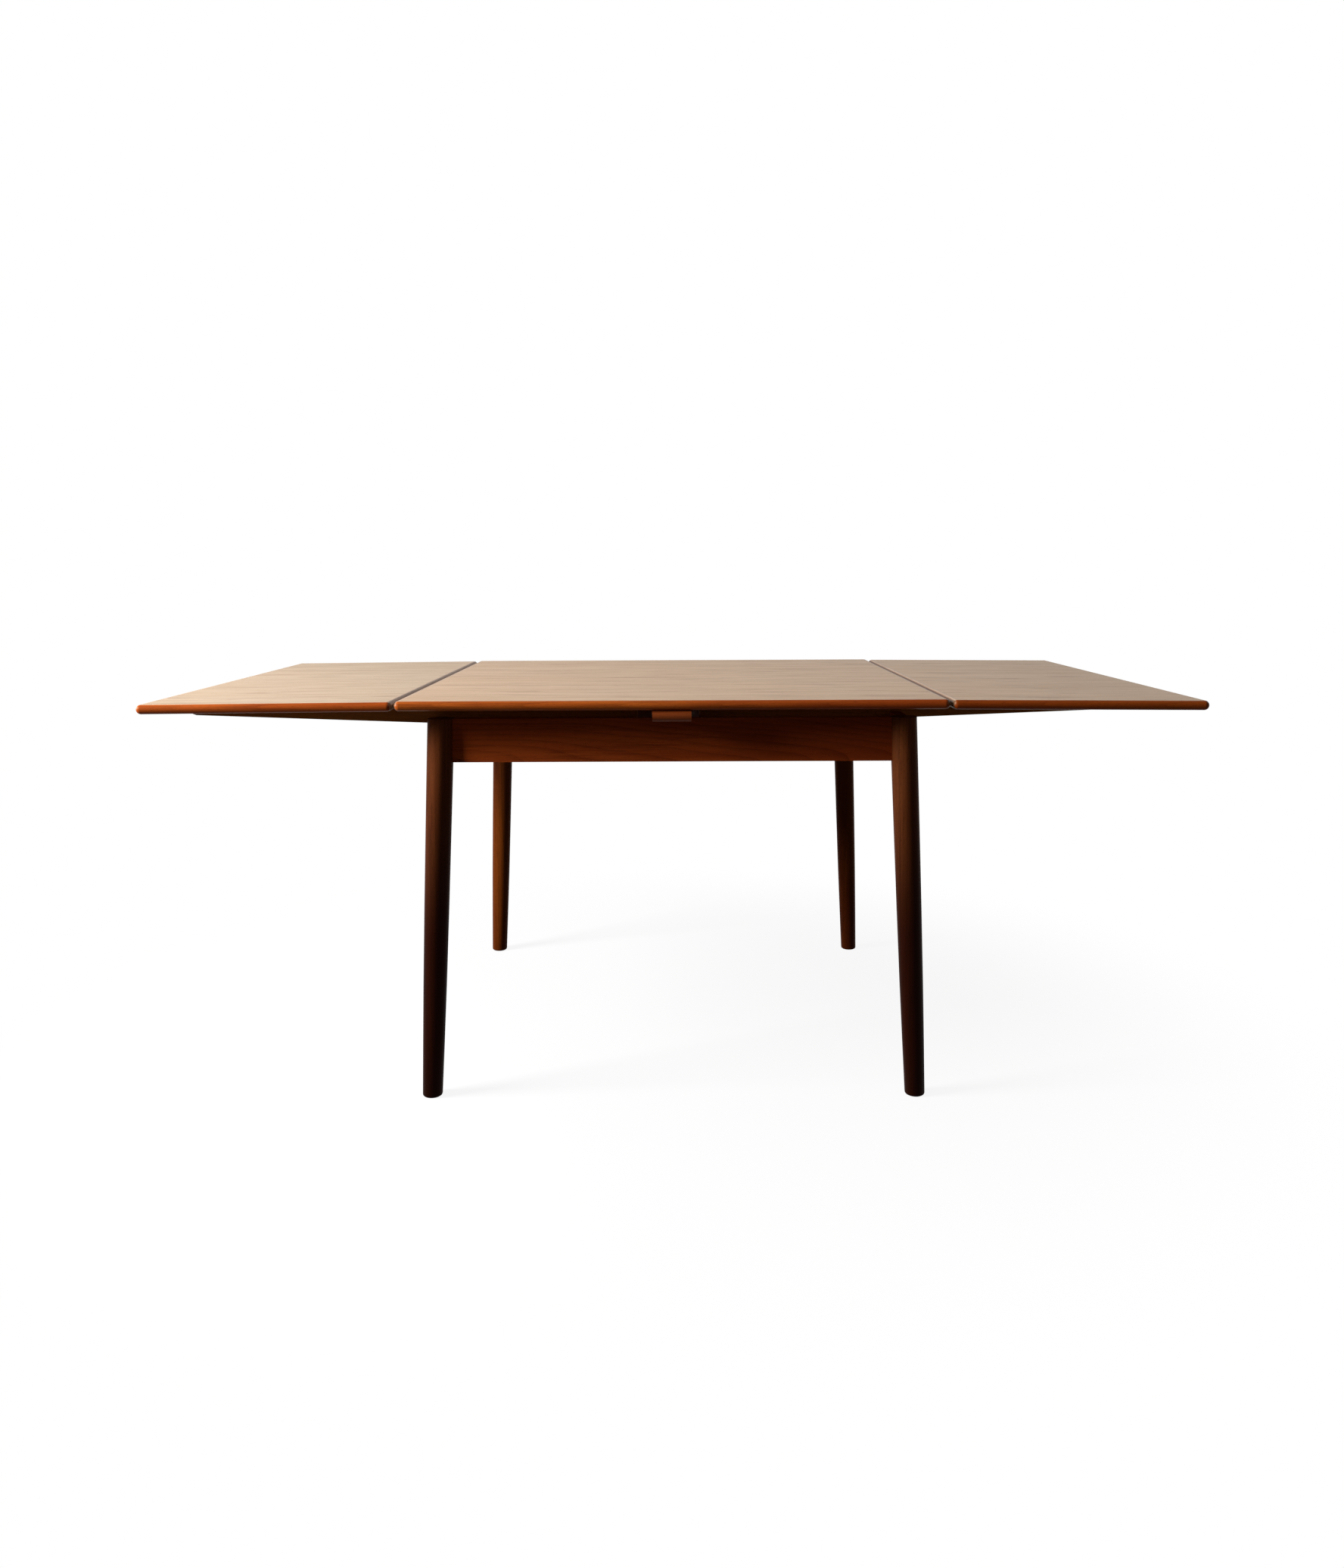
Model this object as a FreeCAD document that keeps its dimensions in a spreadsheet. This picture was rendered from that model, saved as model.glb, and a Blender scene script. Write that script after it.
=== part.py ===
import FreeCAD, Part
import os
import Sketcher

# A draw-leaf dining table. A loose square top rests on two short bearers, one on
# each long apron, and is located by two pegs. Under it two leaves slide out on
# tapered runners that pass through housings in the end aprons, so each leaf
# climbs to the level of the top as it is drawn. The frame is four splayed round
# legs, dowelled to four aprons, with a bolted block in each corner and a flat
# rail across the middle.
#
# Millimetres, +Z up. The origin is on the floor under the middle of the top, X
# is the way the leaves slide and -Y is the front. The leaves are drawn out.

vector = FreeCAD.Vector

# alias, value, what it is
SIZES = [
    ("table_height", 725, "floor to the upper face of the top"),
    ("top_length", 950, "top along X"),
    ("top_depth", 950, "top and leaves along Y"),
    ("top_thickness", 17, "top"),
    ("lipping_width", 10, "solid wood lipping round each panel"),
    ("corner_extra", 0.6, "plan radius of a corner beyond the half-round of its edge"),
    ("edge_flat", 0.2, "flat left between the two roundings of an edge"),
    ("leaf_margin", 1, "stowed leaf inside the edge of the top"),
    ("leaf_thickness", 16.5, "leaf"),
    ("leaf_gap", 3.5, "gap between the top and a drawn leaf"),
    ("leaf_step", 1, "drawn leaf below the face of the top"),
    ("leaf_droop", 0.43, "degrees by which a leaf hangs outwards"),
    ("stow_gap", 0.3, "stowed leaf below the underside of the top"),
    ("bearer_width", 67, "bearer of the top along X"),
    ("bearer_thickness", 19, "bearer of the top"),
    ("bearer_gap", 3, "stowed leaf to the side of a bearer"),
    ("bearer_clearance", 3, "bearer to the path of the outer runners"),
    ("nosing_depth", 12, "solid nosing on the outer end of a bearer"),
    ("felt_thickness", 1, "felt between bearer and top"),
    ("felt_width", 50, "felt pad along X"),
    ("felt_length", 36, "felt pad along Y"),
    ("felt_margin", 3, "felt pad to the inner end of its bearer"),
    ("peg_radius", 5, "locating peg of the top"),
    ("peg_grip", 10, "peg glued into the top"),
    ("peg_drop", 17, "peg below the top"),
    ("peg_clearance", 0.4, "peg to the wall of its hole in the bearer"),
    ("peg_setback", 37, "peg inside the edge of the top along Y"),
    ("leg_inset", 68.5, "edge of the top to the axis of a leg at its head"),
    ("leg_spread", 33.5, "foot outside the head of a leg, along X and along Y"),
    ("leg_head_radius", 23.5, "leg at the head"),
    ("leg_middle_radius", 22.3, "leg halfway down"),
    ("leg_foot_radius", 17.9, "leg at the floor"),
    ("leg_chamfer", 2.5, "chamfer round the foot"),
    ("apron_height", 77, "apron"),
    ("apron_thickness", 20, "apron"),
    ("apron_set_in", 1, "middle of the apron inside the axis of the leg head"),
    ("rail_width", 160, "centre rail along X"),
    ("rail_thickness", 20, "centre rail"),
    ("rail_lift", 3, "centre rail above the lower edge of the aprons"),
    ("rail_housing", 6, "end of the centre rail let into a long apron"),
    ("runner_depth", 28.5, "runner under the inner edge of the leaf"),
    ("runner_thickness", 22, "runner along Y"),
    ("runner_setback", 47.5, "outer tip of a runner inside the edge of the leaf"),
    ("runner_tip", 4, "runner left at its outer tip"),
    ("runner_tip_slope", 22, "length of the sloped outer tip"),
    ("runner_leg_gap", 1, "outer runner to the legs beside it"),
    ("runner_spacing", 57, "line of a leaf's outer runner to that of its inner one"),
    ("outer_runner_end_gap", 15.5, "stowed outer runner to the far apron"),
    ("inner_runner_end_gap", 3.5, "stowed inner runner to the far apron"),
    ("runner_clearance", 0.3, "runner above the floor of its housing"),
    ("housing_side_clearance", 0.5, "runner to each side of its housing"),
    ("stop_length", 30, "stop block along the runner"),
    ("stop_height", 18, "stop block under the runner"),
    ("stop_gap", 0.3, "stop block to the apron when the leaf is drawn"),
    ("screw_radius", 2, "shank of a wood screw"),
    ("screw_head_radius", 4, "head of a wood screw"),
    ("screw_head_height", 3, "countersunk part of a head"),
    ("screw_bore_radius", 4.5, "bore that sinks a head into a runner"),
    ("leaf_screw_length", 20, "screw from runner to leaf"),
    ("leaf_screw_grip", 11, "screw in the leaf"),
    ("leaf_screw_margin", 60, "first and last leaf screw from the ends of the joint"),
    ("bearer_screw_length", 45, "screw from bearer to apron"),
    ("bearer_screw_offset", 18, "bearer screw from the table's middle along X"),
    ("dowel_radius", 4, "dowel between apron and leg"),
    ("dowel_length", 40, "dowel"),
    ("dowel_drop", 10, "upper dowel of a long apron below the frame's top"),
    ("block_height", 28, "corner block"),
    ("block_lift", 3, "corner block above the lower edge of the aprons"),
    ("block_reach", 65.5, "corner block along each apron"),
    ("block_nose", 30.5, "cut-back corner of the block, towards the leg"),
    ("bolt_radius", 3, "bolt from corner block to leg"),
    ("bolt_length", 62, "bolt under its head"),
    ("bolt_head_radius", 6.5, "bolt head"),
    ("bolt_head_height", 4.5, "bolt head"),
    ("cut_spare", 4, "length of a piece or tool beyond the face that ends the work"),
]

LEAF_SCREWS = 3
JOINT_DOWELS = 2
TOLERANCE = 0.001
FULL_TURN = 360
HALF_TURN = 180
QUARTER_TURN = 90
DIAGONAL = 45
CORNERS = {
    "front_left": (-1, -1),
    "front_right": (1, -1),
    "back_left": (-1, 1),
    "back_right": (1, 1),
}
# End of the table along X, and the turn that faces it.
ENDS = {"left": (-1, HALF_TURN), "right": (1, 0)}

# Places worked out from the sizes, as expressions on the sheet.
HALF_LENGTH = "(Sizes.top_length / 2)"
HALF_DEPTH = "(Sizes.top_depth / 2)"
TOP_UNDER = "(Sizes.table_height - Sizes.top_thickness)"
BEARER_TOP = f"({TOP_UNDER} - Sizes.felt_thickness)"
FRAME_TOP = f"({BEARER_TOP} - Sizes.bearer_thickness)"
APRON_UNDER = f"({FRAME_TOP} - Sizes.apron_height)"

LEG_X = f"({HALF_LENGTH} - Sizes.leg_inset)"
LEG_Y = f"({HALF_DEPTH} - Sizes.leg_inset)"
APRON_X = f"({LEG_X} - Sizes.apron_set_in)"
APRON_Y = f"({LEG_Y} - Sizes.apron_set_in)"
INNER_X = f"({APRON_X} - Sizes.apron_thickness / 2)"
INNER_Y = f"({APRON_Y} - Sizes.apron_thickness / 2)"
LEG_AXIS = f"(sqrt({FRAME_TOP} ^ 2 + 2 * Sizes.leg_spread ^ 2))"
LEG_TILT = f"(atan(sqrt(2) * Sizes.leg_spread / {FRAME_TOP}))"

# A leaf moves parallel to itself from under the top to the level of the top.
LEAF_START = f"({HALF_LENGTH} + Sizes.leaf_gap)"
LEAF_HOME = "(Sizes.bearer_width / 2 + Sizes.bearer_gap)"
LEAF_TRAVEL = f"({LEAF_START} - {LEAF_HOME})"
LEAF_LENGTH = f"({HALF_LENGTH} - Sizes.leaf_margin - {LEAF_HOME})"
LEAF_RISE = "(Sizes.top_thickness - Sizes.leaf_step + Sizes.stow_gap)"
SLIDE_ANGLE = f"(atan({LEAF_RISE} / {LEAF_TRAVEL}))"
STOWED_UNDER = f"({TOP_UNDER} - Sizes.stow_gap - Sizes.leaf_thickness)"

# In the leaf's own frame the lower edge of a runner leans by this much per
# millimetre. Its upper edge, inside the table, lies along the underside of the
# other leaf, which it passes under.
RUNNER_SLOPE = f"(tan({SLIDE_ANGLE} + Sizes.leaf_droop * 1deg))"
RUNNER_TOP_SLOPE = "(2 * tan(Sizes.leaf_droop * 1deg))"
RUNNER_OUTREACH = f"({LEAF_LENGTH} - Sizes.runner_setback)"
OUTER_LINE = (
    f"({LEG_Y} - Sizes.leg_head_radius - Sizes.runner_leg_gap - Sizes.runner_thickness / 2)"
)
INNER_LINE = f"({OUTER_LINE} - Sizes.runner_spacing)"
RUNNER_LINES = {"inner": f"(0 - {INNER_LINE})", "outer": OUTER_LINE}
HOUSING_HALF = "(Sizes.runner_thickness / 2 + Sizes.housing_side_clearance)"
BEARER_END = f"({OUTER_LINE} + {HOUSING_HALF} + Sizes.bearer_clearance)"
PEG_Y = f"({HALF_DEPTH} - Sizes.peg_setback)"

# The dowels of both aprons at a leg share the height above the corner block, and
# the end aprons take every second level.
BLOCK_UNDER = f"({APRON_UNDER} + Sizes.block_lift)"
DOWEL_TOP = f"({FRAME_TOP} - Sizes.dowel_drop)"
DOWEL_STEP = f"(({DOWEL_TOP} - {BLOCK_UNDER} - Sizes.block_height) / {2 * JOINT_DOWELS - 1})"


def heading(sign_x, sign_y):
    """Turn about Z from +X to a corner of the table."""
    return sign_y * (QUARTER_TURN - sign_x * DIAGONAL)


def runner_under(along):
    """Height of the runner's lower edge in the leaf's frame, at a place along X."""
    return f"(0 - Sizes.leaf_thickness - Sizes.runner_depth + {RUNNER_SLOPE} * ({along}))"


def make_sheet(doc):
    """Write the driving dimensions into the spreadsheet."""
    sheet = doc.addObject("Spreadsheet::Sheet", "Sizes")
    for row, (alias, value, note) in enumerate(SIZES, start=1):
        sheet.set(f"A{row}", alias)
        sheet.set(f"B{row}", str(value))
        sheet.set(f"C{row}", note)
        sheet.setAlias(f"B{row}", alias)
    doc.recompute()
    return sheet


def worth(doc, expression):
    """Number that an expression on the sheet has now."""
    result = doc.Sizes.evalExpression(str(expression))
    return float(getattr(result, "Value", result))


def bind(thing, **expressions):
    """Bind properties of an object to expressions on the sheet."""
    for name, expression in expressions.items():
        thing.setExpression(name, str(expression))


def place(thing, x=0, y=0, z=0, yaw=0, pitch=0):
    """Bind the whole placement: a turn about Y, then about Z, then a shift."""
    turn = f"rotation({yaw}; {pitch}; 0)"
    thing.setExpression("Placement", f"placement(vector({x}; {y}; {z}); {turn})")


def box(doc, name, length, width, height, **where):
    """Block with one corner at its own origin."""
    block = doc.addObject("Part::Box", name)
    bind(block, Length=length, Width=width, Height=height)
    place(block, **where)
    return block


def cylinder(doc, name, radius, height, **where):
    """Round bar along its own +Z."""
    bar = doc.addObject("Part::Cylinder", name)
    bind(bar, Radius=radius, Height=height)
    place(bar, **where)
    return bar


def combine(doc, kind, name, base, tool):
    """Boolean of two objects: kind is Cut, Fuse or Common."""
    result = doc.addObject(f"Part::{kind}", name)
    result.Base = base
    result.Tool = tool
    return result


def group(doc, name, members):
    """Separate solids kept together as one object."""
    result = doc.addObject("Part::Compound", name)
    result.Links = members
    return result


def own_plane(body, role):
    """Origin plane of a body, found by its role."""
    return [feature for feature in body.Origin.OriginFeatures if feature.Role == role][0]


def sketch_on(body, name, role):
    """Empty sketch attached to an origin plane of its body."""
    sketch = body.newObject("Sketcher::SketchObject", name)
    sketch.AttachmentSupport = (own_plane(body, role), "")
    sketch.MapMode = "FlatFace"
    return sketch


def pin_point(sketch, line, end, label, x, y):
    """Hold one end of a line at a place bound to the sheet."""
    for axis, expression in (("X", x), ("Y", y)):
        value = worth(sketch.Document, expression)
        held = Sketcher.Constraint(f"Distance{axis}", -1, 1, line, end, value)
        index = sketch.addConstraint(held)
        name = f"{label}_{axis.lower()}"
        sketch.renameConstraint(index, name)
        sketch.setExpression(f"Constraints.{name}", str(expression))


def outline_sketch(body, name, role, points):
    """Closed outline through points given as pairs of expressions."""
    sketch = sketch_on(body, name, role)
    doc = body.Document
    spots = [vector(worth(doc, x), worth(doc, y), 0) for x, y in points]
    count = len(points)
    for index in range(count):
        line = Part.LineSegment(spots[index], spots[(index + 1) % count])
        sketch.addGeometry(line, False)
    for index, (x, y) in enumerate(points):
        joined = Sketcher.Constraint("Coincident", index, 2, (index + 1) % count, 1)
        sketch.addConstraint(joined)
        pin_point(sketch, index, 1, f"corner_{index}", x, y)
    return sketch


def padded(doc, name, role, points, length, side="One side"):
    """Body padded from an outline."""
    body = doc.addObject("PartDesign::Body", name)
    sketch = outline_sketch(body, f"{name}_outline", role, points)
    pad = body.newObject("PartDesign::Pad", f"{name}_pad")
    pad.Profile = sketch
    pad.SideType = side
    bind(pad, Length=length)
    body.Tip = pad
    doc.recompute()
    return body


def round_edges(body, name, radius, chosen):
    """Fillet every edge of the body's tip that the test accepts."""
    base = body.Tip
    edges = [f"Edge{number}" for number, edge in enumerate(base.Shape.Edges, start=1) if chosen(edge)]
    fillet = body.newObject("PartDesign::Fillet", name)
    fillet.Base = (base, edges)
    bind(fillet, Radius=radius)
    body.Tip = fillet
    body.Document.recompute()
    return fillet


def is_upright(edge):
    """True for an edge along Z."""
    return edge.BoundBox.XLength + edge.BoundBox.YLength < TOLERANCE


def is_level(edge):
    """True for an edge in a level plane."""
    return edge.BoundBox.ZLength < TOLERANCE


def rectangle(x_low, x_high, y_low, y_high):
    """Corner points of a rectangle, anticlockwise."""
    return [(x_low, y_low), (x_high, y_low), (x_high, y_high), (x_low, y_high)]


def notched_outline(half_width, low, high, notches, floor):
    """Outline of a board on edge, with notches (middle, half width) in its upper edge."""
    steps = []
    for middle, half in notches:
        near = f"({middle} - {half})"
        far = f"({middle} + {half})"
        steps += [(near, high), (near, floor), (far, floor), (far, high)]
    left = f"(0 - {half_width})"
    return [(left, low), (half_width, low), (half_width, high)] + steps[::-1] + [(left, high)]


# Panels: a bullnosed slab, cut into a core and four mitred lippings.

def make_slab(doc, name, x_low, x_high, thickness):
    """Slab with its upper face at z = 0 and half-round edges, and its mitre tools."""
    y_low = f"(0 - {HALF_DEPTH})"
    slab = padded(doc, f"{name}_slab", "XY_Plane", rectangle(x_low, x_high, y_low, HALF_DEPTH), thickness)
    edge_radius = f"({thickness} - Sizes.edge_flat) / 2"
    round_edges(slab, f"{name}_corners", f"{edge_radius} + Sizes.corner_extra", is_upright)
    round_edges(slab, f"{name}_bullnose", edge_radius, is_level)
    place(slab, z=f"0 - {thickness}")
    return slab


def make_mitres(doc, name, x_low, x_high, thickness):
    """Four mitred prisms that part the lippings from a slab."""
    spare = "Sizes.cut_spare"
    wide = "Sizes.lipping_width"
    out = {
        "left": f"({x_low} - {spare})",
        "right": f"({x_high} + {spare})",
        "front": f"(0 - {HALF_DEPTH} - {spare})",
        "back": f"({HALF_DEPTH} + {spare})",
    }
    core = {
        "left": f"({x_low} + {wide})",
        "right": f"({x_high} - {wide})",
        "front": f"({wide} - {HALF_DEPTH})",
        "back": f"({HALF_DEPTH} - {wide})",
    }
    corner_pairs = {
        "front": ("left", "right"),
        "back": ("right", "left"),
        "left": ("back", "front"),
        "right": ("front", "back"),
    }
    mitres = {}
    for side, (first, second) in corner_pairs.items():
        if side in ("front", "back"):
            outline = [
                (out[first], out[side]),
                (out[second], out[side]),
                (core[second], core[side]),
                (core[first], core[side]),
            ]
        else:
            outline = [
                (out[side], out[first]),
                (out[side], out[second]),
                (core[side], core[second]),
                (core[side], core[first]),
            ]
        mitre = padded(doc, f"{name}_{side}_mitre", "XY_Plane", outline, f"{thickness} + 2 * {spare}")
        place(mitre, z=f"0 - {thickness} - {spare}")
        mitres[side] = mitre
    return mitres


def make_core(doc, name, slab, x_low, x_high, thickness):
    """Panel inside the lippings, upper face at z = 0."""
    wide = "Sizes.lipping_width"
    block = box(
        doc,
        f"{name}_core_block",
        f"{x_high} - {x_low} - 2 * {wide}",
        f"Sizes.top_depth - 2 * {wide}",
        thickness,
        x=f"{x_low} + {wide}",
        y=f"{wide} - {HALF_DEPTH}",
        z=f"0 - {thickness}",
    )
    return combine(doc, "Common", f"{name}_core", slab, block)


# Fasteners.

def make_screw(doc, name, length, **where):
    """Countersunk wood screw: its tip at its own origin, its head up +Z."""
    head_height = "Sizes.screw_head_height"
    shank = cylinder(doc, f"{name}_shank", "Sizes.screw_radius", f"{length} - {head_height}")
    head = doc.addObject("Part::Cone", f"{name}_head")
    bind(head, Radius1="Sizes.screw_radius", Radius2="Sizes.screw_head_radius", Height=head_height)
    place(head, z=f"{length} - {head_height}")
    screw = combine(doc, "Fuse", name, shank, head)
    place(screw, **where)
    return screw


def make_bolt(doc, name, sign_x, sign_y):
    """Bolt through a corner block into the leg, square to the block's inner face."""
    shank = cylinder(doc, f"{name}_shank", "Sizes.bolt_radius", "Sizes.bolt_length")
    head = cylinder(
        doc,
        f"{name}_head",
        "Sizes.bolt_head_radius",
        "Sizes.bolt_head_height",
        z="0 - Sizes.bolt_head_height",
    )
    bolt = combine(doc, "Fuse", name, shank, head)
    place(
        bolt,
        x=f"{sign_x} * ({INNER_X} - Sizes.block_reach / 2)",
        y=f"{sign_y} * ({INNER_Y} - Sizes.block_reach / 2)",
        z=f"{BLOCK_UNDER} + Sizes.block_height / 2",
        yaw=heading(sign_x, sign_y),
        pitch=QUARTER_TURN,
    )
    return bolt


# Frame.

def make_leg_blank(doc, name, sign_x, sign_y):
    """Turned leg, leaning outwards both ways, cut level at the head and the floor."""
    body = doc.addObject("PartDesign::Body", f"{name}_turning")
    spare = "Sizes.cut_spare"
    head = "Sizes.leg_head_radius"
    foot = "Sizes.leg_foot_radius"
    tread = f"({foot} - Sizes.leg_chamfer)"
    under = f"(0 - {LEG_AXIS})"
    outline = [
        (0, f"{under} - {spare}"),
        (tread, f"{under} - {spare}"),
        (tread, under),
        (foot, f"Sizes.leg_chamfer - {LEG_AXIS}"),
        ("Sizes.leg_middle_radius", f"0 - {LEG_AXIS} / 2"),
        (head, 0),
        (head, spare),
        (0, spare),
    ]
    sketch = outline_sketch(body, f"{name}_profile", "XZ_Plane", outline)
    turning = body.newObject("PartDesign::Revolution", f"{name}_revolution")
    turning.Profile = sketch
    turning.ReferenceAxis = (sketch, ["V_Axis"])
    turning.Angle = FULL_TURN
    body.Tip = turning
    place(
        body,
        x=f"{sign_x} * {LEG_X}",
        y=f"{sign_y} * {LEG_Y}",
        z=FRAME_TOP,
        yaw=heading(sign_x, sign_y),
        pitch=f"-{LEG_TILT}",
    )
    room = box(
        doc,
        f"{name}_room",
        "Sizes.top_length",
        "Sizes.top_depth",
        FRAME_TOP,
        x=f"0 - {HALF_LENGTH}",
        y=f"0 - {HALF_DEPTH}",
    )
    return combine(doc, "Common", f"{name}_level", body, room)


def make_dowels(doc):
    """Dowels at every joint of an apron and a leg."""
    dowels = []
    half = "Sizes.dowel_length / 2"
    joint_x = f"({LEG_X} - Sizes.leg_head_radius)"
    joint_y = f"({LEG_Y} - Sizes.leg_head_radius)"
    for corner, (sign_x, sign_y) in CORNERS.items():
        for level in range(JOINT_DOWELS):
            height = f"{DOWEL_TOP} - {2 * level} * {DOWEL_STEP}"
            dowels.append(
                cylinder(
                    doc,
                    f"{corner}_long_dowel_{level}",
                    "Sizes.dowel_radius",
                    "Sizes.dowel_length",
                    x=f"{sign_x} * {joint_x} - {half}",
                    y=f"{sign_y} * {APRON_Y}",
                    z=height,
                    pitch=QUARTER_TURN,
                )
            )
            dowels.append(
                cylinder(
                    doc,
                    f"{corner}_end_dowel_{level}",
                    "Sizes.dowel_radius",
                    "Sizes.dowel_length",
                    x=f"{sign_x} * {APRON_X}",
                    y=f"{sign_y} * {joint_y} - {half}",
                    z=f"{height} - {DOWEL_STEP}",
                    yaw=QUARTER_TURN,
                    pitch=QUARTER_TURN,
                )
            )
    return group(doc, "apron_dowels", dowels)


def make_frame(doc, bearer_screws):
    """Legs, aprons, centre rail, dowels, corner blocks and bolts."""
    blanks = {
        corner: make_leg_blank(doc, f"{corner}_leg", *signs) for corner, signs in CORNERS.items()
    }
    all_legs = group(doc, "leg_blanks", list(blanks.values()))
    dowels = make_dowels(doc)
    bolts = group(
        doc,
        "corner_bolts",
        [make_bolt(doc, f"{corner}_bolt", *signs) for corner, signs in CORNERS.items()],
    )
    rail = box(
        doc,
        "centre_rail",
        "Sizes.rail_width",
        f"2 * ({INNER_Y} + Sizes.rail_housing)",
        "Sizes.rail_thickness",
        x="0 - Sizes.rail_width / 2",
        y=f"0 - {INNER_Y} - Sizes.rail_housing",
        z=f"{APRON_UNDER} + Sizes.rail_lift",
    )
    nodes = {"apron_dowels": dowels, "corner_bolts": bolts, "centre_rail": rail}
    for corner, blank in blanks.items():
        drilled = combine(doc, "Cut", f"{corner}_leg_drilled", blank, dowels)
        nodes[f"{corner}_leg"] = combine(doc, "Cut", f"{corner}_leg", drilled, bolts)
    for corner, signs in CORNERS.items():
        nodes[f"{corner}_corner_block"] = make_corner_block(doc, corner, signs, bolts)

    thickness = "Sizes.apron_thickness"
    for side, sign in (("front", -1), ("back", 1)):
        board = box(
            doc,
            f"{side}_apron_board",
            f"2 * {LEG_X}",
            thickness,
            "Sizes.apron_height",
            x=f"0 - {LEG_X}",
            y=f"{sign} * {APRON_Y} - {thickness} / 2",
            z=APRON_UNDER,
        )
        coped = combine(doc, "Cut", f"{side}_apron_coped", board, all_legs)
        bored = combine(doc, "Cut", f"{side}_apron_bored", coped, dowels)
        housed = combine(doc, "Cut", f"{side}_apron_housed", bored, rail)
        nodes[f"{side}_apron"] = combine(doc, "Cut", f"{side}_apron", housed, bearer_screws)

    housing_floor = (
        f"({STOWED_UNDER} - Sizes.runner_depth - Sizes.runner_clearance"
        f" + tan({SLIDE_ANGLE}) * ({INNER_X} - {LEAF_HOME}))"
    )
    notches = [(line, HOUSING_HALF) for line in RUNNER_LINES.values()]
    outline = notched_outline(LEG_Y, APRON_UNDER, FRAME_TOP, notches, housing_floor)
    for side, (sign, yaw) in ENDS.items():
        board = padded(doc, f"{side}_apron_board", "YZ_Plane", outline, thickness, "Symmetric")
        place(board, x=f"{sign} * {APRON_X}", yaw=yaw)
        coped = combine(doc, "Cut", f"{side}_apron_coped", board, all_legs)
        nodes[f"{side}_apron"] = combine(doc, "Cut", f"{side}_apron", coped, dowels)
    return nodes


def make_corner_block(doc, corner, signs, bolts):
    """Diagonal block glued between two aprons, cut back to clear the leg."""
    sign_x, sign_y = signs
    reach = "Sizes.block_reach"
    nose = "Sizes.block_nose"
    outline = [
        (f"{sign_x} * {INNER_X}", f"{sign_y} * ({INNER_Y} - {reach})"),
        (f"{sign_x} * {INNER_X}", f"{sign_y} * ({INNER_Y} - {nose})"),
        (f"{sign_x} * ({INNER_X} - {nose})", f"{sign_y} * {INNER_Y}"),
        (f"{sign_x} * ({INNER_X} - {reach})", f"{sign_y} * {INNER_Y}"),
    ]
    name = f"{corner}_corner_block"
    block = padded(doc, f"{name}_solid", "XY_Plane", outline, "Sizes.block_height")
    place(block, z=BLOCK_UNDER)
    return combine(doc, "Cut", name, block, bolts)


# Bearers of the top.

def make_bearer_screws(doc):
    """Screws down through the bearers into the long aprons."""
    screws = [
        make_screw(
            doc,
            f"bearer_screw_{index}",
            "Sizes.bearer_screw_length",
            x=f"{sign_x} * Sizes.bearer_screw_offset",
            y=f"{sign_y} * {APRON_Y}",
            z=f"{BEARER_TOP} - Sizes.bearer_screw_length",
        )
        for index, (sign_x, sign_y) in enumerate(CORNERS.values(), start=1)
    ]
    return group(doc, "bearer_screws", screws)


def make_bearers(doc, screws):
    """Two short boards on the long aprons, each with a nosing, a peg hole and a felt pad."""
    length = f"({HALF_DEPTH} - Sizes.nosing_depth - {BEARER_END})"
    hole_radius = "Sizes.peg_radius + Sizes.peg_clearance"
    holes = make_rounds(doc, "peg_holes", hole_radius, "2 * Sizes.bearer_thickness")
    pad_middle = f"({BEARER_END} + Sizes.felt_margin + Sizes.felt_length / 2)"
    nodes = {"bearer_screws": screws}
    pads = []
    for side, sign in (("front", -1), ("back", 1)):
        board = box(
            doc,
            f"{side}_bearer_board",
            "Sizes.bearer_width",
            length,
            "Sizes.bearer_thickness",
            x="0 - Sizes.bearer_width / 2",
            y=f"{sign} * ({BEARER_END} + {length} / 2) - {length} / 2",
            z=FRAME_TOP,
        )
        bored = combine(doc, "Cut", f"{side}_bearer_bored", board, holes)
        nodes[f"{side}_bearer"] = combine(doc, "Cut", f"{side}_bearer", bored, screws)
        nodes[f"{side}_bearer_nosing"] = make_nosing(doc, side, sign)
        pads.append(
            box(
                doc,
                f"{side}_felt_pad",
                "Sizes.felt_width",
                "Sizes.felt_length",
                "Sizes.felt_thickness",
                x="0 - Sizes.felt_width / 2",
                y=f"{sign} * {pad_middle} - Sizes.felt_length / 2",
                z=BEARER_TOP,
            )
        )
    nodes["felt_pads"] = group(doc, "felt_pads", pads)
    return nodes


def make_nosing(doc, side, sign):
    """Half-round end of a bearer, flush with the edge of the top above it."""
    half_width = "(Sizes.bearer_width / 2)"
    depth = "Sizes.nosing_depth"
    outline = rectangle(f"(0 - {half_width})", half_width, f"(0 - {depth})", "0")
    name = f"{side}_bearer_nosing"
    body = padded(doc, name, "XY_Plane", outline, "Sizes.bearer_thickness")
    outer = -worth(doc, depth)

    def is_outer(edge):
        """True for the two long edges of the outer face."""
        middle = edge.BoundBox.Center
        return is_level(edge) and abs(middle.y - outer) < TOLERANCE

    edge_radius = "min((Sizes.bearer_thickness - Sizes.edge_flat) / 2; Sizes.nosing_depth - Sizes.edge_flat)"
    round_edges(body, f"{name}_round", edge_radius, is_outer)
    place(
        body,
        y=f"{sign} * ({HALF_DEPTH} - {depth})",
        z=FRAME_TOP,
        yaw=0 if sign < 0 else HALF_TURN,
    )
    return body


# Top.

def make_rounds(doc, name, radius, height):
    """Two upright rounds where the top is pegged to the bearers, level with the middle of a peg."""
    middle = f"({TOP_UNDER} + (Sizes.peg_grip - Sizes.peg_drop) / 2)"
    return group(
        doc,
        name,
        [
            cylinder(
                doc,
                f"{name}_{index}",
                radius,
                height,
                y=f"{sign} * {PEG_Y}",
                z=f"{middle} - ({height}) / 2",
            )
            for index, sign in enumerate((-1, 1), start=1)
        ],
    )


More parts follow.
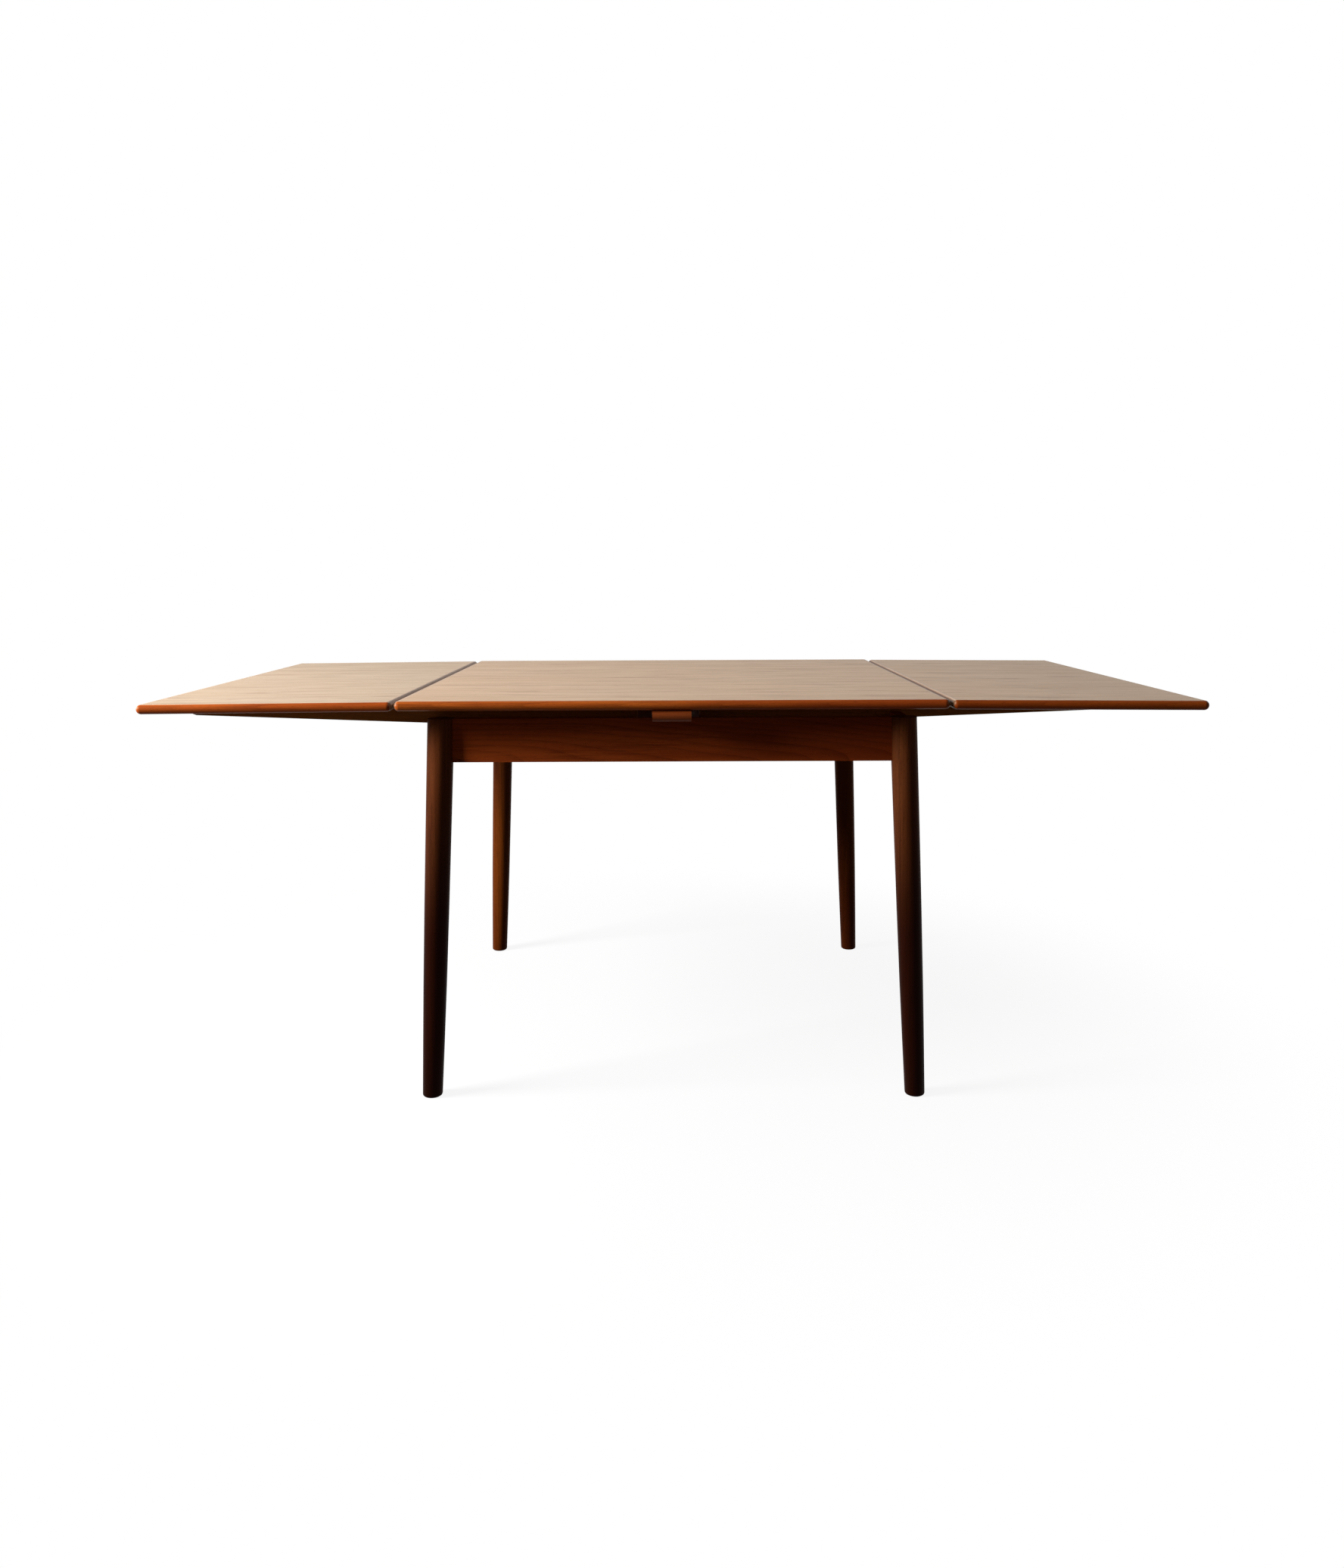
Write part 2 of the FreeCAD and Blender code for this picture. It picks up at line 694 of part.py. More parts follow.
def make_top(doc):
    """Loose top: panel, lippings and pegs."""
    low = f"(0 - {HALF_LENGTH})"
    high = HALF_LENGTH
    thickness = "Sizes.top_thickness"
    slab = make_slab(doc, "top", low, high, thickness)
    mitres = make_mitres(doc, "top", low, high, thickness)
    nodes = {}
    for side, mitre in mitres.items():
        name = f"top_{side}_lipping"
        nodes[name] = combine(doc, "Common", name, slab, mitre)
        place(nodes[name], z="Sizes.table_height")
    pegs = make_rounds(doc, "top_pegs", "Sizes.peg_radius", "Sizes.peg_grip + Sizes.peg_drop")
    core = make_core(doc, "top", slab, low, high, thickness)
    place(core, z="Sizes.table_height")
    nodes["top_panel"] = combine(doc, "Cut", "top_panel", core, pegs)
    nodes["top_pegs"] = pegs
    return nodes


# Leaves. Everything is made once in the leaf's own frame, whose origin is the
# middle of the upper inner edge and whose +X points outwards, and is then placed
# twice, half a turn apart.

def make_runner(doc, kind):
    """Bar with a tapered lower edge, screwed flat under the leaf, with a cut-back outer tip."""
    tail = f"(Sizes.{kind}_runner_end_gap - {INNER_X} - {LEAF_HOME})"
    under_leaf = "(0 - Sizes.leaf_thickness)"
    tip = RUNNER_OUTREACH
    tip_start = f"({tip} - Sizes.runner_tip_slope)"
    outline = [
        (tip, under_leaf),
        ("0", under_leaf),
        (tail, f"{under_leaf} + {RUNNER_TOP_SLOPE} * {tail}"),
        (tail, runner_under(tail)),
        (tip_start, runner_under(tip_start)),
        (tip, f"{under_leaf} - Sizes.runner_tip"),
    ]
    name = f"leaf_{kind}_runner_bar"
    bar = padded(doc, name, "XZ_Plane", outline, "Sizes.runner_thickness", "Symmetric")
    place(bar, y=RUNNER_LINES[kind])
    return bar


def make_stop(doc, kind):
    """Block under a runner that meets the end apron when the leaf is drawn."""
    face = f"(({INNER_X} - Sizes.stop_gap - {LEAF_START}) / cos(Sizes.leaf_droop))"
    back = f"({face} - Sizes.stop_length)"
    height = "Sizes.stop_height"
    outline = [
        (face, runner_under(face)),
        (back, runner_under(back)),
        (back, f"{runner_under(back)} - {height}"),
        (face, f"{runner_under(face)} - {height}"),
    ]
    name = f"leaf_{kind}_stop"
    stop = padded(doc, name, "XZ_Plane", outline, "Sizes.runner_thickness", "Symmetric")
    place(stop, y=RUNNER_LINES[kind])
    return stop


def make_leaf_screws(doc):
    """Screws up through both runners into the leaf, and the bores below their heads."""
    screws = []
    bores = []
    margin = "Sizes.leaf_screw_margin"
    tip = "(Sizes.leaf_screw_grip - Sizes.leaf_thickness)"
    head = f"({tip} - Sizes.leaf_screw_length)"
    for kind, line in RUNNER_LINES.items():
        for index in range(LEAF_SCREWS):
            along = f"({margin} + {index} * ({RUNNER_OUTREACH} - 2 * {margin}) / {LEAF_SCREWS - 1})"
            name = f"leaf_{kind}_screw_{index}"
            screws.append(
                make_screw(doc, name, "Sizes.leaf_screw_length", x=along, y=line, z=tip, pitch=HALF_TURN)
            )
            bores.append(
                cylinder(
                    doc,
                    f"{name}_bore",
                    "Sizes.screw_bore_radius",
                    "Sizes.runner_depth",
                    x=along,
                    y=line,
                    z=head,
                    pitch=HALF_TURN,
                )
            )
    return screws, bores


def make_leaves(doc):
    """Both leaves with their runners, stops and screws."""
    low = "0"
    high = LEAF_LENGTH
    thickness = "Sizes.leaf_thickness"
    slab = make_slab(doc, "leaf", low, high, thickness)
    mitres = make_mitres(doc, "leaf", low, high, thickness)
    core = make_core(doc, "leaf", slab, low, high, thickness)
    bars = {kind: make_runner(doc, kind) for kind in RUNNER_LINES}
    stops = [make_stop(doc, kind) for kind in RUNNER_LINES]
    screws, bores = make_leaf_screws(doc)
    all_screws = group(doc, "leaf_screws", screws)
    sunk_screws = group(doc, "leaf_screws_and_bores", screws + bores)

    nodes = {}
    for side, (sign, yaw) in ENDS.items():
        leaf = {}
        # The half turn swaps a lipping's own side for the other side of the table.
        turned = {"front": "back", "back": "front"} if yaw else {}
        names = {"left": "inner", "right": "outer"}
        for edge, mitre in mitres.items():
            label = names.get(edge, turned.get(edge, edge))
            name = f"{side}_leaf_{label}_lipping"
            leaf[name] = combine(doc, "Common", name, slab, mitre)
        leaf[f"{side}_leaf_panel"] = combine(doc, "Cut", f"{side}_leaf_panel", core, all_screws)
        for kind, bar in bars.items():
            name = f"{side}_leaf_{kind}_runner"
            leaf[name] = combine(doc, "Cut", name, bar, sunk_screws)
        leaf[f"{side}_runner_stops"] = group(doc, f"{side}_runner_stops", stops)
        leaf[f"{side}_runner_screws"] = group(doc, f"{side}_runner_screws", screws)
        for piece in leaf.values():
            place(
                piece,
                x=f"{sign} * {LEAF_START}",
                z="Sizes.table_height - Sizes.leaf_step",
                yaw=yaw,
                pitch="Sizes.leaf_droop",
            )
        nodes.update(leaf)
    return nodes


def check(doc, nodes):
    """Stop if any object failed or any sub-part is empty or invalid."""
    for thing in doc.Objects:
        if {"Invalid", "Error"} & set(thing.State):
            raise RuntimeError(f"{thing.Label} failed: {thing.State}")
    for name, thing in nodes.items():
        if thing.Shape.isNull() or not thing.Shape.isValid():
            raise RuntimeError(f"{name} has no valid shape")
        if not thing.Shape.Solids:
            raise RuntimeError(f"{name} holds no solid")


def export(nodes):
    """Write each sub-part to its own STEP file."""
    os.makedirs("parts", exist_ok=True)
    for name, thing in nodes.items():
        thing.Shape.exportStep(f"parts/{name}.step")
        print(name, len(thing.Shape.Solids), round(thing.Shape.Volume, 1))


def main():
    """Build the table and write its parts."""
    doc = FreeCAD.newDocument("DrawLeafTable")
    make_sheet(doc)
    bearer_screws = make_bearer_screws(doc)
    nodes = make_frame(doc, bearer_screws)
    nodes.update(make_bearers(doc, bearer_screws))
    nodes.update(make_top(doc))
    nodes.update(make_leaves(doc))
    for name, thing in nodes.items():
        thing.Label = name
    doc.recompute()
    check(doc, nodes)
    export(nodes)


main()
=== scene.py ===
"""Finishes, studio and camera for the draw-leaf dining table.

Metres, +Z up. The leaves slide along X and -Y is the front. The joiner's solids
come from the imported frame; the turned legs are made here, and every visible
piece gets a finish whose grain runs the way its board was cut.
"""

import logging
import math
from dataclasses import dataclass, field, replace
from enum import Enum
from typing import Sequence

import bmesh
import bpy
from mathutils import Matrix, Vector

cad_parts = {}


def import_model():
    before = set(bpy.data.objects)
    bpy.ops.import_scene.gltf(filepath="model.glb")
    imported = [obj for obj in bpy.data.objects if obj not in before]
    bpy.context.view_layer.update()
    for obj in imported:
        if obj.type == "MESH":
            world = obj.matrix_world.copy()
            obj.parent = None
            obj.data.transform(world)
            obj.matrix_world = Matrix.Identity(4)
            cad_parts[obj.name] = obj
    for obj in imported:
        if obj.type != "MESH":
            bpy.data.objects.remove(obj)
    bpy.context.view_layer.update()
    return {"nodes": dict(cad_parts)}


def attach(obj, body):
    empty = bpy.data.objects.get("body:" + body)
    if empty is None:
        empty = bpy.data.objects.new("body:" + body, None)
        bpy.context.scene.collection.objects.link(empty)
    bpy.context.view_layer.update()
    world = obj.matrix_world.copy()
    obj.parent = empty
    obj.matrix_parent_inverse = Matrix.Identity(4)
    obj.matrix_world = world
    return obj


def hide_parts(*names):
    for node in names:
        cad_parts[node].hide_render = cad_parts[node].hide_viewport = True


LOG = logging.getLogger("draw_leaf_table")
MM = 0.001
TOUCH = 0.001 * MM
SMOOTH_ANGLE = math.radians(35)
Colour = tuple[float, float, float]
Triple = tuple[float, float, float]
Span = tuple[float, float]
Nodes = dict[str, bpy.types.Object]
Sockets = dict[str, bpy.types.NodeSocket]
WHITE: Colour = (1.0, 1.0, 1.0)


class GrainWay(Enum):
    """Axis of the table along which the fibres of a board run."""

    LENGTHWISE = "x"
    CROSSWISE = "y"
    UPRIGHT = "z"


# Node building.

class NodeBench:
    """Adds and links the nodes of one material, group or world."""

    # A Mix node repeats its socket names for each data type, so its colours go by number.
    mix_share = 0
    mix_first = 6
    mix_second = 7
    mix_result = 2

    def __init__(self, tree: bpy.types.NodeTree) -> None:
        """Keep the tree to work on."""
        self.tree = tree

    def add(self, kind: str, **inputs: object) -> bpy.types.Node:
        """Add a node and set or link its inputs.

        Args:
            kind: Node type without the "ShaderNode" in front.
            inputs: Input names, with underscores for spaces, and a value or an output socket each.

        Returns:
            The new node.
        """
        node = self.tree.nodes.new(f"ShaderNode{kind}")
        for name, value in inputs.items():
            self.feed(node.inputs[name.replace("_", " ")], value)
        return node

    def feed(self, socket: bpy.types.NodeSocket, value: object) -> None:
        """Link an output to a socket, or set the socket's value.

        Args:
            socket: Input to feed.
            value: Output socket, number, vector or colour without alpha.
        """
        if isinstance(value, bpy.types.NodeSocket):
            self.tree.links.new(value, socket)
        elif isinstance(value, tuple) and socket.type == "RGBA":
            socket.default_value = (*value, 1.0)
        else:
            socket.default_value = value

    def math(self, operation: str, *values: object, clamp: bool = False) -> bpy.types.NodeSocket:
        """Do sums on one to three values with a Math node.

        Args:
            operation: Name of the operation.
            values: Numbers or sockets.
            clamp: Whether the result is kept between 0 and 1.

        Returns:
            The result's socket.
        """
        node = self.tree.nodes.new("ShaderNodeMath")
        node.operation = operation
        node.use_clamp = clamp
        for socket, value in zip(node.inputs, values):
            self.feed(socket, value)
        return node.outputs[0]

    def vector(self, operation: str, *values: object) -> bpy.types.NodeSocket:
        """Do sums on vectors with a Vector Math node.

        Args:
            operation: Name of the operation; LENGTH gives a number.
            values: Vectors or sockets.

        Returns:
            The result's socket.
        """
        node = self.tree.nodes.new("ShaderNodeVectorMath")
        node.operation = operation
        for socket, value in zip(node.inputs, values):
            self.feed(socket, value)
        return node.outputs["Value" if operation == "LENGTH" else "Vector"]

    def noise(self, place: bpy.types.NodeSocket, scale: object, detail: float) -> bpy.types.NodeSocket:
        """Value of a Noise Texture, centred on about a half."""
        return self.add("TexNoise", Vector=place, Scale=scale, Detail=detail).outputs[0]

    def between(self, value: object, low: float, high: float) -> bpy.types.NodeSocket:
        """Make a smooth mask of a value.

        Args:
            value: Number or socket.
            low: Value at which the mask is 0.
            high: Value at which the mask is 1.

        Returns:
            The mask's socket.
        """
        node = self.tree.nodes.new("ShaderNodeMapRange")
        node.interpolation_type = "SMOOTHSTEP"
        self.feed(node.inputs["Value"], value)
        self.feed(node.inputs["From Min"], low)
        self.feed(node.inputs["From Max"], high)
        return node.outputs["Result"]

    def blend(
        self, share: object, first: object, second: object, mode: str = "MIX"
    ) -> bpy.types.NodeSocket:
        """Mix two colours.

        Args:
            share: How much of the second colour goes in.
            first: Colour or socket.
            second: Colour or socket.
            mode: Name of the way of mixing.

        Returns:
            The mixed colour's socket.
        """
        node = self.tree.nodes.new("ShaderNodeMix")
        node.data_type = "RGBA"
        node.blend_type = mode
        self.feed(node.inputs[self.mix_share], share)
        self.feed(node.inputs[self.mix_first], first)
        self.feed(node.inputs[self.mix_second], second)
        return node.outputs[self.mix_result]

    def grey(self, value: bpy.types.NodeSocket) -> bpy.types.NodeSocket:
        """Grey colour of a value."""
        return self.add("CombineColor", Red=value, Green=value, Blue=value).outputs[0]


@dataclass(frozen=True)
class Streaks:
    """Noise with its own number of features to the metre along each axis."""

    pitch: Triple
    detail: float

    def draw(self, bench: NodeBench, place: bpy.types.NodeSocket) -> bpy.types.NodeSocket:
        """Value of the noise at the coordinates, centred on about a half."""
        return bench.noise(bench.vector("MULTIPLY", place, self.pitch), 1.0, self.detail)


class EffectGroup:
    """A shader node group with named sockets, built once and used by several finishes."""

    name = "effect"
    inputs: Sequence[tuple[str, str]] = ()
    outputs: Sequence[tuple[str, str]] = ()

    def tree(self) -> bpy.types.NodeTree:
        """Find the group, and build it on first use.

        Returns:
            The group's tree.
        """
        found = bpy.data.node_groups.get(self.name)
        if found:
            return found
        tree = bpy.data.node_groups.new(self.name, "ShaderNodeTree")
        for label, kind in self.inputs:
            tree.interface.new_socket(name=label, in_out="INPUT", socket_type=f"NodeSocket{kind}")
        for label, kind in self.outputs:
            tree.interface.new_socket(name=label, in_out="OUTPUT", socket_type=f"NodeSocket{kind}")
        bench = NodeBench(tree)
        source = tree.nodes.new("NodeGroupInput")
        drain = tree.nodes.new("NodeGroupOutput")
        for label, socket in self.build(bench, source.outputs).items():
            tree.links.new(socket, drain.inputs[label])
        return tree

    def build(self, bench: NodeBench, given: bpy.types.NodeOutputs) -> Sockets:
        """Make the group's nodes.

        Args:
            bench: Bench of the group's tree.
            given: The group's inputs.

        Returns:
            Output names with their sockets.
        """
        raise NotImplementedError

    def place(self, bench: NodeBench, **inputs: object) -> bpy.types.Node:
        """Put the group into a material with its own values.

        Args:
            bench: The material's bench.
            inputs: Input names, with underscores for spaces, and a value or an output socket each.

        Returns:
            The group's node.
        """
        node = bench.tree.nodes.new("ShaderNodeGroup")
        node.node_tree = self.tree()
        for name, value in inputs.items():
            bench.feed(node.inputs[name.replace("_", " ")], value)
        return node


class WoodFigure(EffectGroup):
    """Growth rings, fibres, dark veins and open pores of a board whose grain runs along X."""

    name = "wood_figure"
    inputs = (
        ("Vector", "Vector"),
        ("Pale", "Color"),
        ("Warm", "Color"),
        ("Dark", "Color"),
        ("Ring Spacing", "Float"),
        ("Ring Depth", "Float"),
        ("Wander", "Float"),
        ("Vein Depth", "Float"),
        ("Fibre Depth", "Float"),
        ("Pore Depth", "Float"),
    )
    outputs = (("Color", "Color"), ("Gloss", "Float"), ("Height", "Float"))

    # Features to the metre along the grain and across it.
    drift_pitch = (1.1, 7.0, 7.0)
    drift_detail = 2.0
    mottle = Streaks((1.6, 22.0, 22.0), 3.0)
    veins = Streaks((9.0, 430.0, 430.0), 3.0)
    clusters = Streaks((6.0, 75.0, 75.0), 3.0)
    fibres = Streaks((12.0, 560.0, 560.0), 5.0)
    pores = Streaks((130.0, 1900.0, 1900.0), 1.0)
    # Noise values at which each mask starts and is full.
    mottle_span = (0.34, 0.68)
    vein_span = (0.46, 0.60)
    cluster_span = (0.46, 0.64)
    pore_span = (0.60, 0.70)
    trunk_taper = 0.035
    late_wood_sharpness = 3.0
    ring_share_gain = 0.7
    ring_share_least = 0.45
    gloss_share = 0.5
    fibre_height = 0.35
    pore_height = 1.2

    def build(self, bench: NodeBench, given: bpy.types.NodeOutputs) -> Sockets:
        """Make the wood from a trunk of rings around the X axis.

        Args:
            bench: Bench of the group's tree.
            given: The group's inputs.

        Returns:
            Colour, gloss mask and height of the wood.
        """
        place = given["Vector"]
        bent = self.bend(bench, place, given["Wander"])
        late = self.rings(bench, bent, given["Ring Spacing"])
        mottle = self.mottle.draw(bench, bent)
        vein = self.veins.draw(bench, bent)
        cluster = self.clusters.draw(bench, bent)
        fibre = self.fibres.draw(bench, bent)
        pore = self.pores.draw(bench, place)

        colour = bench.blend(bench.between(mottle, *self.mottle_span), given["Pale"], given["Warm"])
        ringed = bench.math("MULTIPLY", late, given["Ring Depth"], clamp=True)
        colour = bench.blend(ringed, colour, given["Dark"])
        vein = bench.between(vein, *self.vein_span)
        vein = bench.math("MULTIPLY", vein, bench.between(cluster, *self.cluster_span))
        veined = bench.math("MULTIPLY", vein, given["Vein Depth"])
        colour = bench.blend(veined, colour, given["Dark"])
        spread = bench.math("MULTIPLY", bench.math("SUBTRACT", fibre, 0.5), given["Fibre Depth"])
        colour = bench.blend(1.0, colour, bench.grey(bench.math("ADD", spread, 1.0)), "MULTIPLY")
        open_pore = bench.between(pore, *self.pore_span)
        sunk = bench.math("MULTIPLY", open_pore, given["Pore Depth"])
        colour = bench.blend(sunk, colour, given["Dark"])

        fibre_gloss = bench.math("MULTIPLY", fibre, self.gloss_share)
        gloss = bench.math("ADD", fibre_gloss, bench.math("MULTIPLY", open_pore, self.gloss_share))
        raised = bench.math("MULTIPLY", fibre, self.fibre_height)
        height = bench.math("SUBTRACT", raised, bench.math("MULTIPLY", sunk, self.pore_height))
        return {"Color": colour, "Gloss": gloss, "Height": height}

    def bend(
        self, bench: NodeBench, place: bpy.types.NodeSocket, wander: bpy.types.NodeSocket
    ) -> bpy.types.NodeSocket:
        """Shift the coordinates, so that the grain wanders as it did in the tree.

        Args:
            bench: Bench of the group's tree.
            place: Coordinates with the grain along X.
            wander: How far the grain strays.

        Returns:
            The shifted coordinates.
        """
        pitched = bench.vector("MULTIPLY", place, self.drift_pitch)
        drift = bench.add("TexNoise", Vector=pitched, Scale=1.0, Detail=self.drift_detail)
        sway = bench.vector("SUBTRACT", drift.outputs["Color"], (0.5, 0.5, 0.5))
        reach = bench.vector("SCALE", sway)
        bench.feed(reach.node.inputs["Scale"], wander)
        return bench.vector("ADD", place, reach)

    def rings(
        self, bench: NodeBench, bent: bpy.types.NodeSocket, spacing: bpy.types.NodeSocket
    ) -> bpy.types.NodeSocket:
        """Make growth rings round the X axis, each of its own strength.

        Args:
            bench: Bench of the group's tree.
            bent: Coordinates in the tree.
            spacing: Width of a ring.

        Returns:
            How much late wood there is.
        """
        parts = bench.add("SeparateXYZ", Vector=bent)
        across = bench.vector("MULTIPLY", bent, (0.0, 1.0, 1.0))
        lean = bench.math("MULTIPLY", parts.outputs["X"], self.trunk_taper)
        radius = bench.math("ADD", bench.vector("LENGTH", across), lean)
        count = bench.math("DIVIDE", radius, spacing)
        late = bench.math("POWER", bench.math("FRACT", count), self.late_wood_sharpness)
        shade = bench.add("TexWhiteNoise")
        shade.noise_dimensions = "1D"
        bench.feed(shade.inputs["W"], bench.math("FLOOR", count))
        value = shade.outputs["Value"]
        own = bench.math("MULTIPLY_ADD", value, self.ring_share_gain, self.ring_share_least)
        return bench.math("MULTIPLY", late, own)


class HandWear(EffectGroup):
    """Patches where hands and cloths have thinned the finish."""

    name = "hand_wear"
    inputs = (("Vector", "Vector"), ("Patch Size", "Float"), ("Amount", "Float"))
    outputs = (("Wear", "Float"),)

    patch_detail = 2.0
    patch_span = (0.42, 0.72)
    finer = 9.0
    fine_detail = 4.0
    fine_span = (0.3, 0.65)

    def build(self, bench: NodeBench, given: bpy.types.NodeOutputs) -> Sockets:
        """Make large soft patches broken up by a finer pattern.

        Args:
            bench: Bench of the group's tree.
            given: The group's inputs.

        Returns:
            The mask of the wear.
        """
        scale = bench.math("DIVIDE", 1.0, given["Patch Size"])
        fine_scale = bench.math("MULTIPLY", scale, self.finer)
        large = bench.noise(given["Vector"], scale, self.patch_detail)
        small = bench.noise(given["Vector"], fine_scale, self.fine_detail)
        patches = bench.between(large, *self.patch_span)
        broken = bench.math("MULTIPLY", patches, bench.between(small, *self.fine_span))
        return {"Wear": bench.math("MULTIPLY", broken, given["Amount"], clamp=True)}


WOOD_FIGURE = WoodFigure()
HAND_WEAR = HandWear()


# Finishes.

@dataclass(frozen=True)
class BoardCut:
    """How a board lay in the trunk: its grain's way, and where the heart of the trunk is."""

    way: GrainWay
    heart: Triple = (0.0, 0.0, 0.0)

    def turn(self) -> Triple:
        """Find the rotation that brings the board's fibres onto X.

        Returns:
            Euler angles.
        """
        quarter = math.pi / 2
        return {
            GrainWay.LENGTHWISE: (0.0, 0.0, 0.0),
            GrainWay.CROSSWISE: (0.0, 0.0, -quarter),
            GrainWay.UPRIGHT: (0.0, quarter, 0.0),
        }[self.way]


@dataclass(frozen=True)
class Tones:
    """The three colours of one wood: early wood, warm patches, late wood and pores."""

    pale: Colour
    warm: Colour
    dark: Colour

    def towards(self, bench: NodeBench, other: "Tones", share: bpy.types.NodeSocket) -> Sequence[object]:
        """Blend the three colours towards other tones, which carry painted sheen, highlights or shade.

        Args:
            bench: The material's bench.
            other: Tones to blend towards.
            share: Mask of the other tones.

        Returns:
            Early wood, warm patches and late wood, as sockets.
        """
        pale = bench.blend(share, self.pale, other.pale)
        warm = bench.blend(share, self.warm, other.warm)
        dark = bench.blend(share, self.dark, other.dark)
        return pale, warm, dark


@dataclass(frozen=True)
class WoodFinish:
    """Colours, figure and oil of one kind of wood."""

    name: str
    tones: Tones
    ring_spacing: float = 0.004
    ring_depth: float = 0.4
    wander: float = 0.02
    vein_depth: float = 0.35
    fibre_depth: float = 0.35
    pore_depth: float = 0.5
    roughness_low: float = 0.42
    roughness_high: float = 0.58
    specular: float = 0.3
    relief: float = 0.15
    relief_depth: float = 0.4 * MM
    wear: float = 0.25
    wear_patch: float = 0.22
    wear_paling: float = 0.35
    wear_dulling: float = 0.12

    def material(self, label: str, cut: BoardCut) -> bpy.types.Material:
        """Build the material for boards cut one way.

        Args:
            label: Ending of the material's name.
            cut: Grain direction and heart of the trunk.

        Returns:
            The material.
        """
        material, bench, shader = new_material(f"{self.name}_{label}")
        coordinates = bench.add("TexCoord")
        place = coordinates.outputs["Object"]
        moved = bench.vector("SUBTRACT", place, cut.heart)
        turned = bench.add("Mapping", Vector=moved, Rotation=cut.turn()).outputs[0]
        # Tones, with the painted sheen, highlights or shade that a finish adds.
        pale, warm, dark = self.tones_and_painted_light(bench, coordinates)
        figure = WOOD_FIGURE.place(
            bench,
            Vector=turned,
            Pale=pale,
            Warm=warm,
            Dark=dark,
            Ring_Spacing=self.ring_spacing,
            Ring_Depth=self.ring_depth,
            Wander=self.wander,
            Vein_Depth=self.vein_depth,
            Fibre_Depth=self.fibre_depth,
            Pore_Depth=self.pore_depth,
        )
        worn = HAND_WEAR.place(bench, Vector=place, Patch_Size=self.wear_patch, Amount=self.wear)
        wear = worn.outputs["Wear"]
        paled = bench.math("MULTIPLY", wear, self.wear_paling)
        colour = bench.blend(paled, figure.outputs["Color"], pale)
        bench.feed(shader.inputs["Base Color"], colour)
        span = self.roughness_high - self.roughness_low
        rough = bench.math("MULTIPLY_ADD", figure.outputs["Gloss"], span, self.roughness_low)
        rough = bench.math("ADD", rough, bench.math("MULTIPLY", wear, self.wear_dulling))
        bench.feed(shader.inputs["Roughness"], rough)
        height = figure.outputs["Height"]
        bump = bench.add("Bump", Height=height, Strength=self.relief, Distance=self.relief_depth)
        bench.feed(shader.inputs["Normal"], bump.outputs["Normal"])
        shader.inputs["Specular IOR Level"].default_value = self.specular
        return material

    def tones_and_painted_light(self, bench: NodeBench, coordinates: bpy.types.Node) -> Sequence[object]:
        """The plain tones; subclasses blend in painted sheen, highlights or shade.

        Args:
            bench: The material's bench.
            coordinates: Texture Coordinate node of the material.

        Returns:
            Early wood, warm patches and late wood, as colours or sockets.
        """
        return self.tones.pale, self.tones.warm, self.tones.dark


@dataclass(frozen=True)
class EdgeFinish(WoodFinish):
    """Oiled edge with painted sheen on its top side and painted highlights on its ends and corners."""

    # Painted sheen and painted highlights: the edge's tones blend into these paler tones where it faces
    # upwards, and on its sideways corners.
    sheen_tones: Tones = field(kw_only=True)
    sheen_from: float = 0.92
    sheen_to: float = 0.99
    corner_highlight: float = 1.0
    corner_highlight_span: Span = (0.25, 0.75)
    highlight_upward_span: Span = (-0.1, 0.5)

    def tones_and_painted_light(self, bench: NodeBench, coordinates: bpy.types.Node) -> Sequence[object]:
        """Tones with painted sheen where the surface faces upwards and painted highlights on the
        corners.

        Args:
            bench: The material's bench.
            coordinates: Texture Coordinate node of the material.

        Returns:
            Early wood, warm patches and late wood, as sockets.
        """
        facing = bench.add("SeparateXYZ", Vector=coordinates.outputs["Normal"]).outputs
        # Painted sheen on the faces that point upwards; painted highlight on the parts that face along X
        # and partly up.
        sheen_mask = bench.between(facing["Z"], self.sheen_from, self.sheen_to)
        corner = bench.between(bench.math("ABSOLUTE", facing["X"]), *self.corner_highlight_span)
        upward = bench.math("MULTIPLY", bench.between(facing["Z"], *self.highlight_upward_span), self.corner_highlight)
        sheen_mask = bench.math("MAXIMUM", sheen_mask, bench.math("MULTIPLY", corner, upward))
        return self.tones.towards(bench, self.sheen_tones, sheen_mask)


@dataclass(frozen=True)
class LegFinish(WoodFinish):
    """Oiled leg with painted shade that darkens it towards the floor."""

    # Painted shade: towards the floor the tones blend into these darker foot tones.
    foot: Tones = field(kw_only=True)
    shade_full_below: float = 0.28
    shade_clear_above: float = 0.72

    def tones_and_painted_light(self, bench: NodeBench, coordinates: bpy.types.Node) -> Sequence[object]:
        """Tones with painted shade, darker towards the foot.

        Args:
            bench: The material's bench.
            coordinates: Texture Coordinate node of the material.

        Returns:
            Early wood, warm patches and late wood, as sockets.
        """
        height = bench.add("SeparateXYZ", Vector=coordinates.outputs["Object"]).outputs["Z"]
        # Painted shade, growing from the clear height down to the foot.
        unshaded = bench.between(height, self.shade_full_below, self.shade_clear_above)
        return self.foot.towards(bench, self.tones, unshaded)


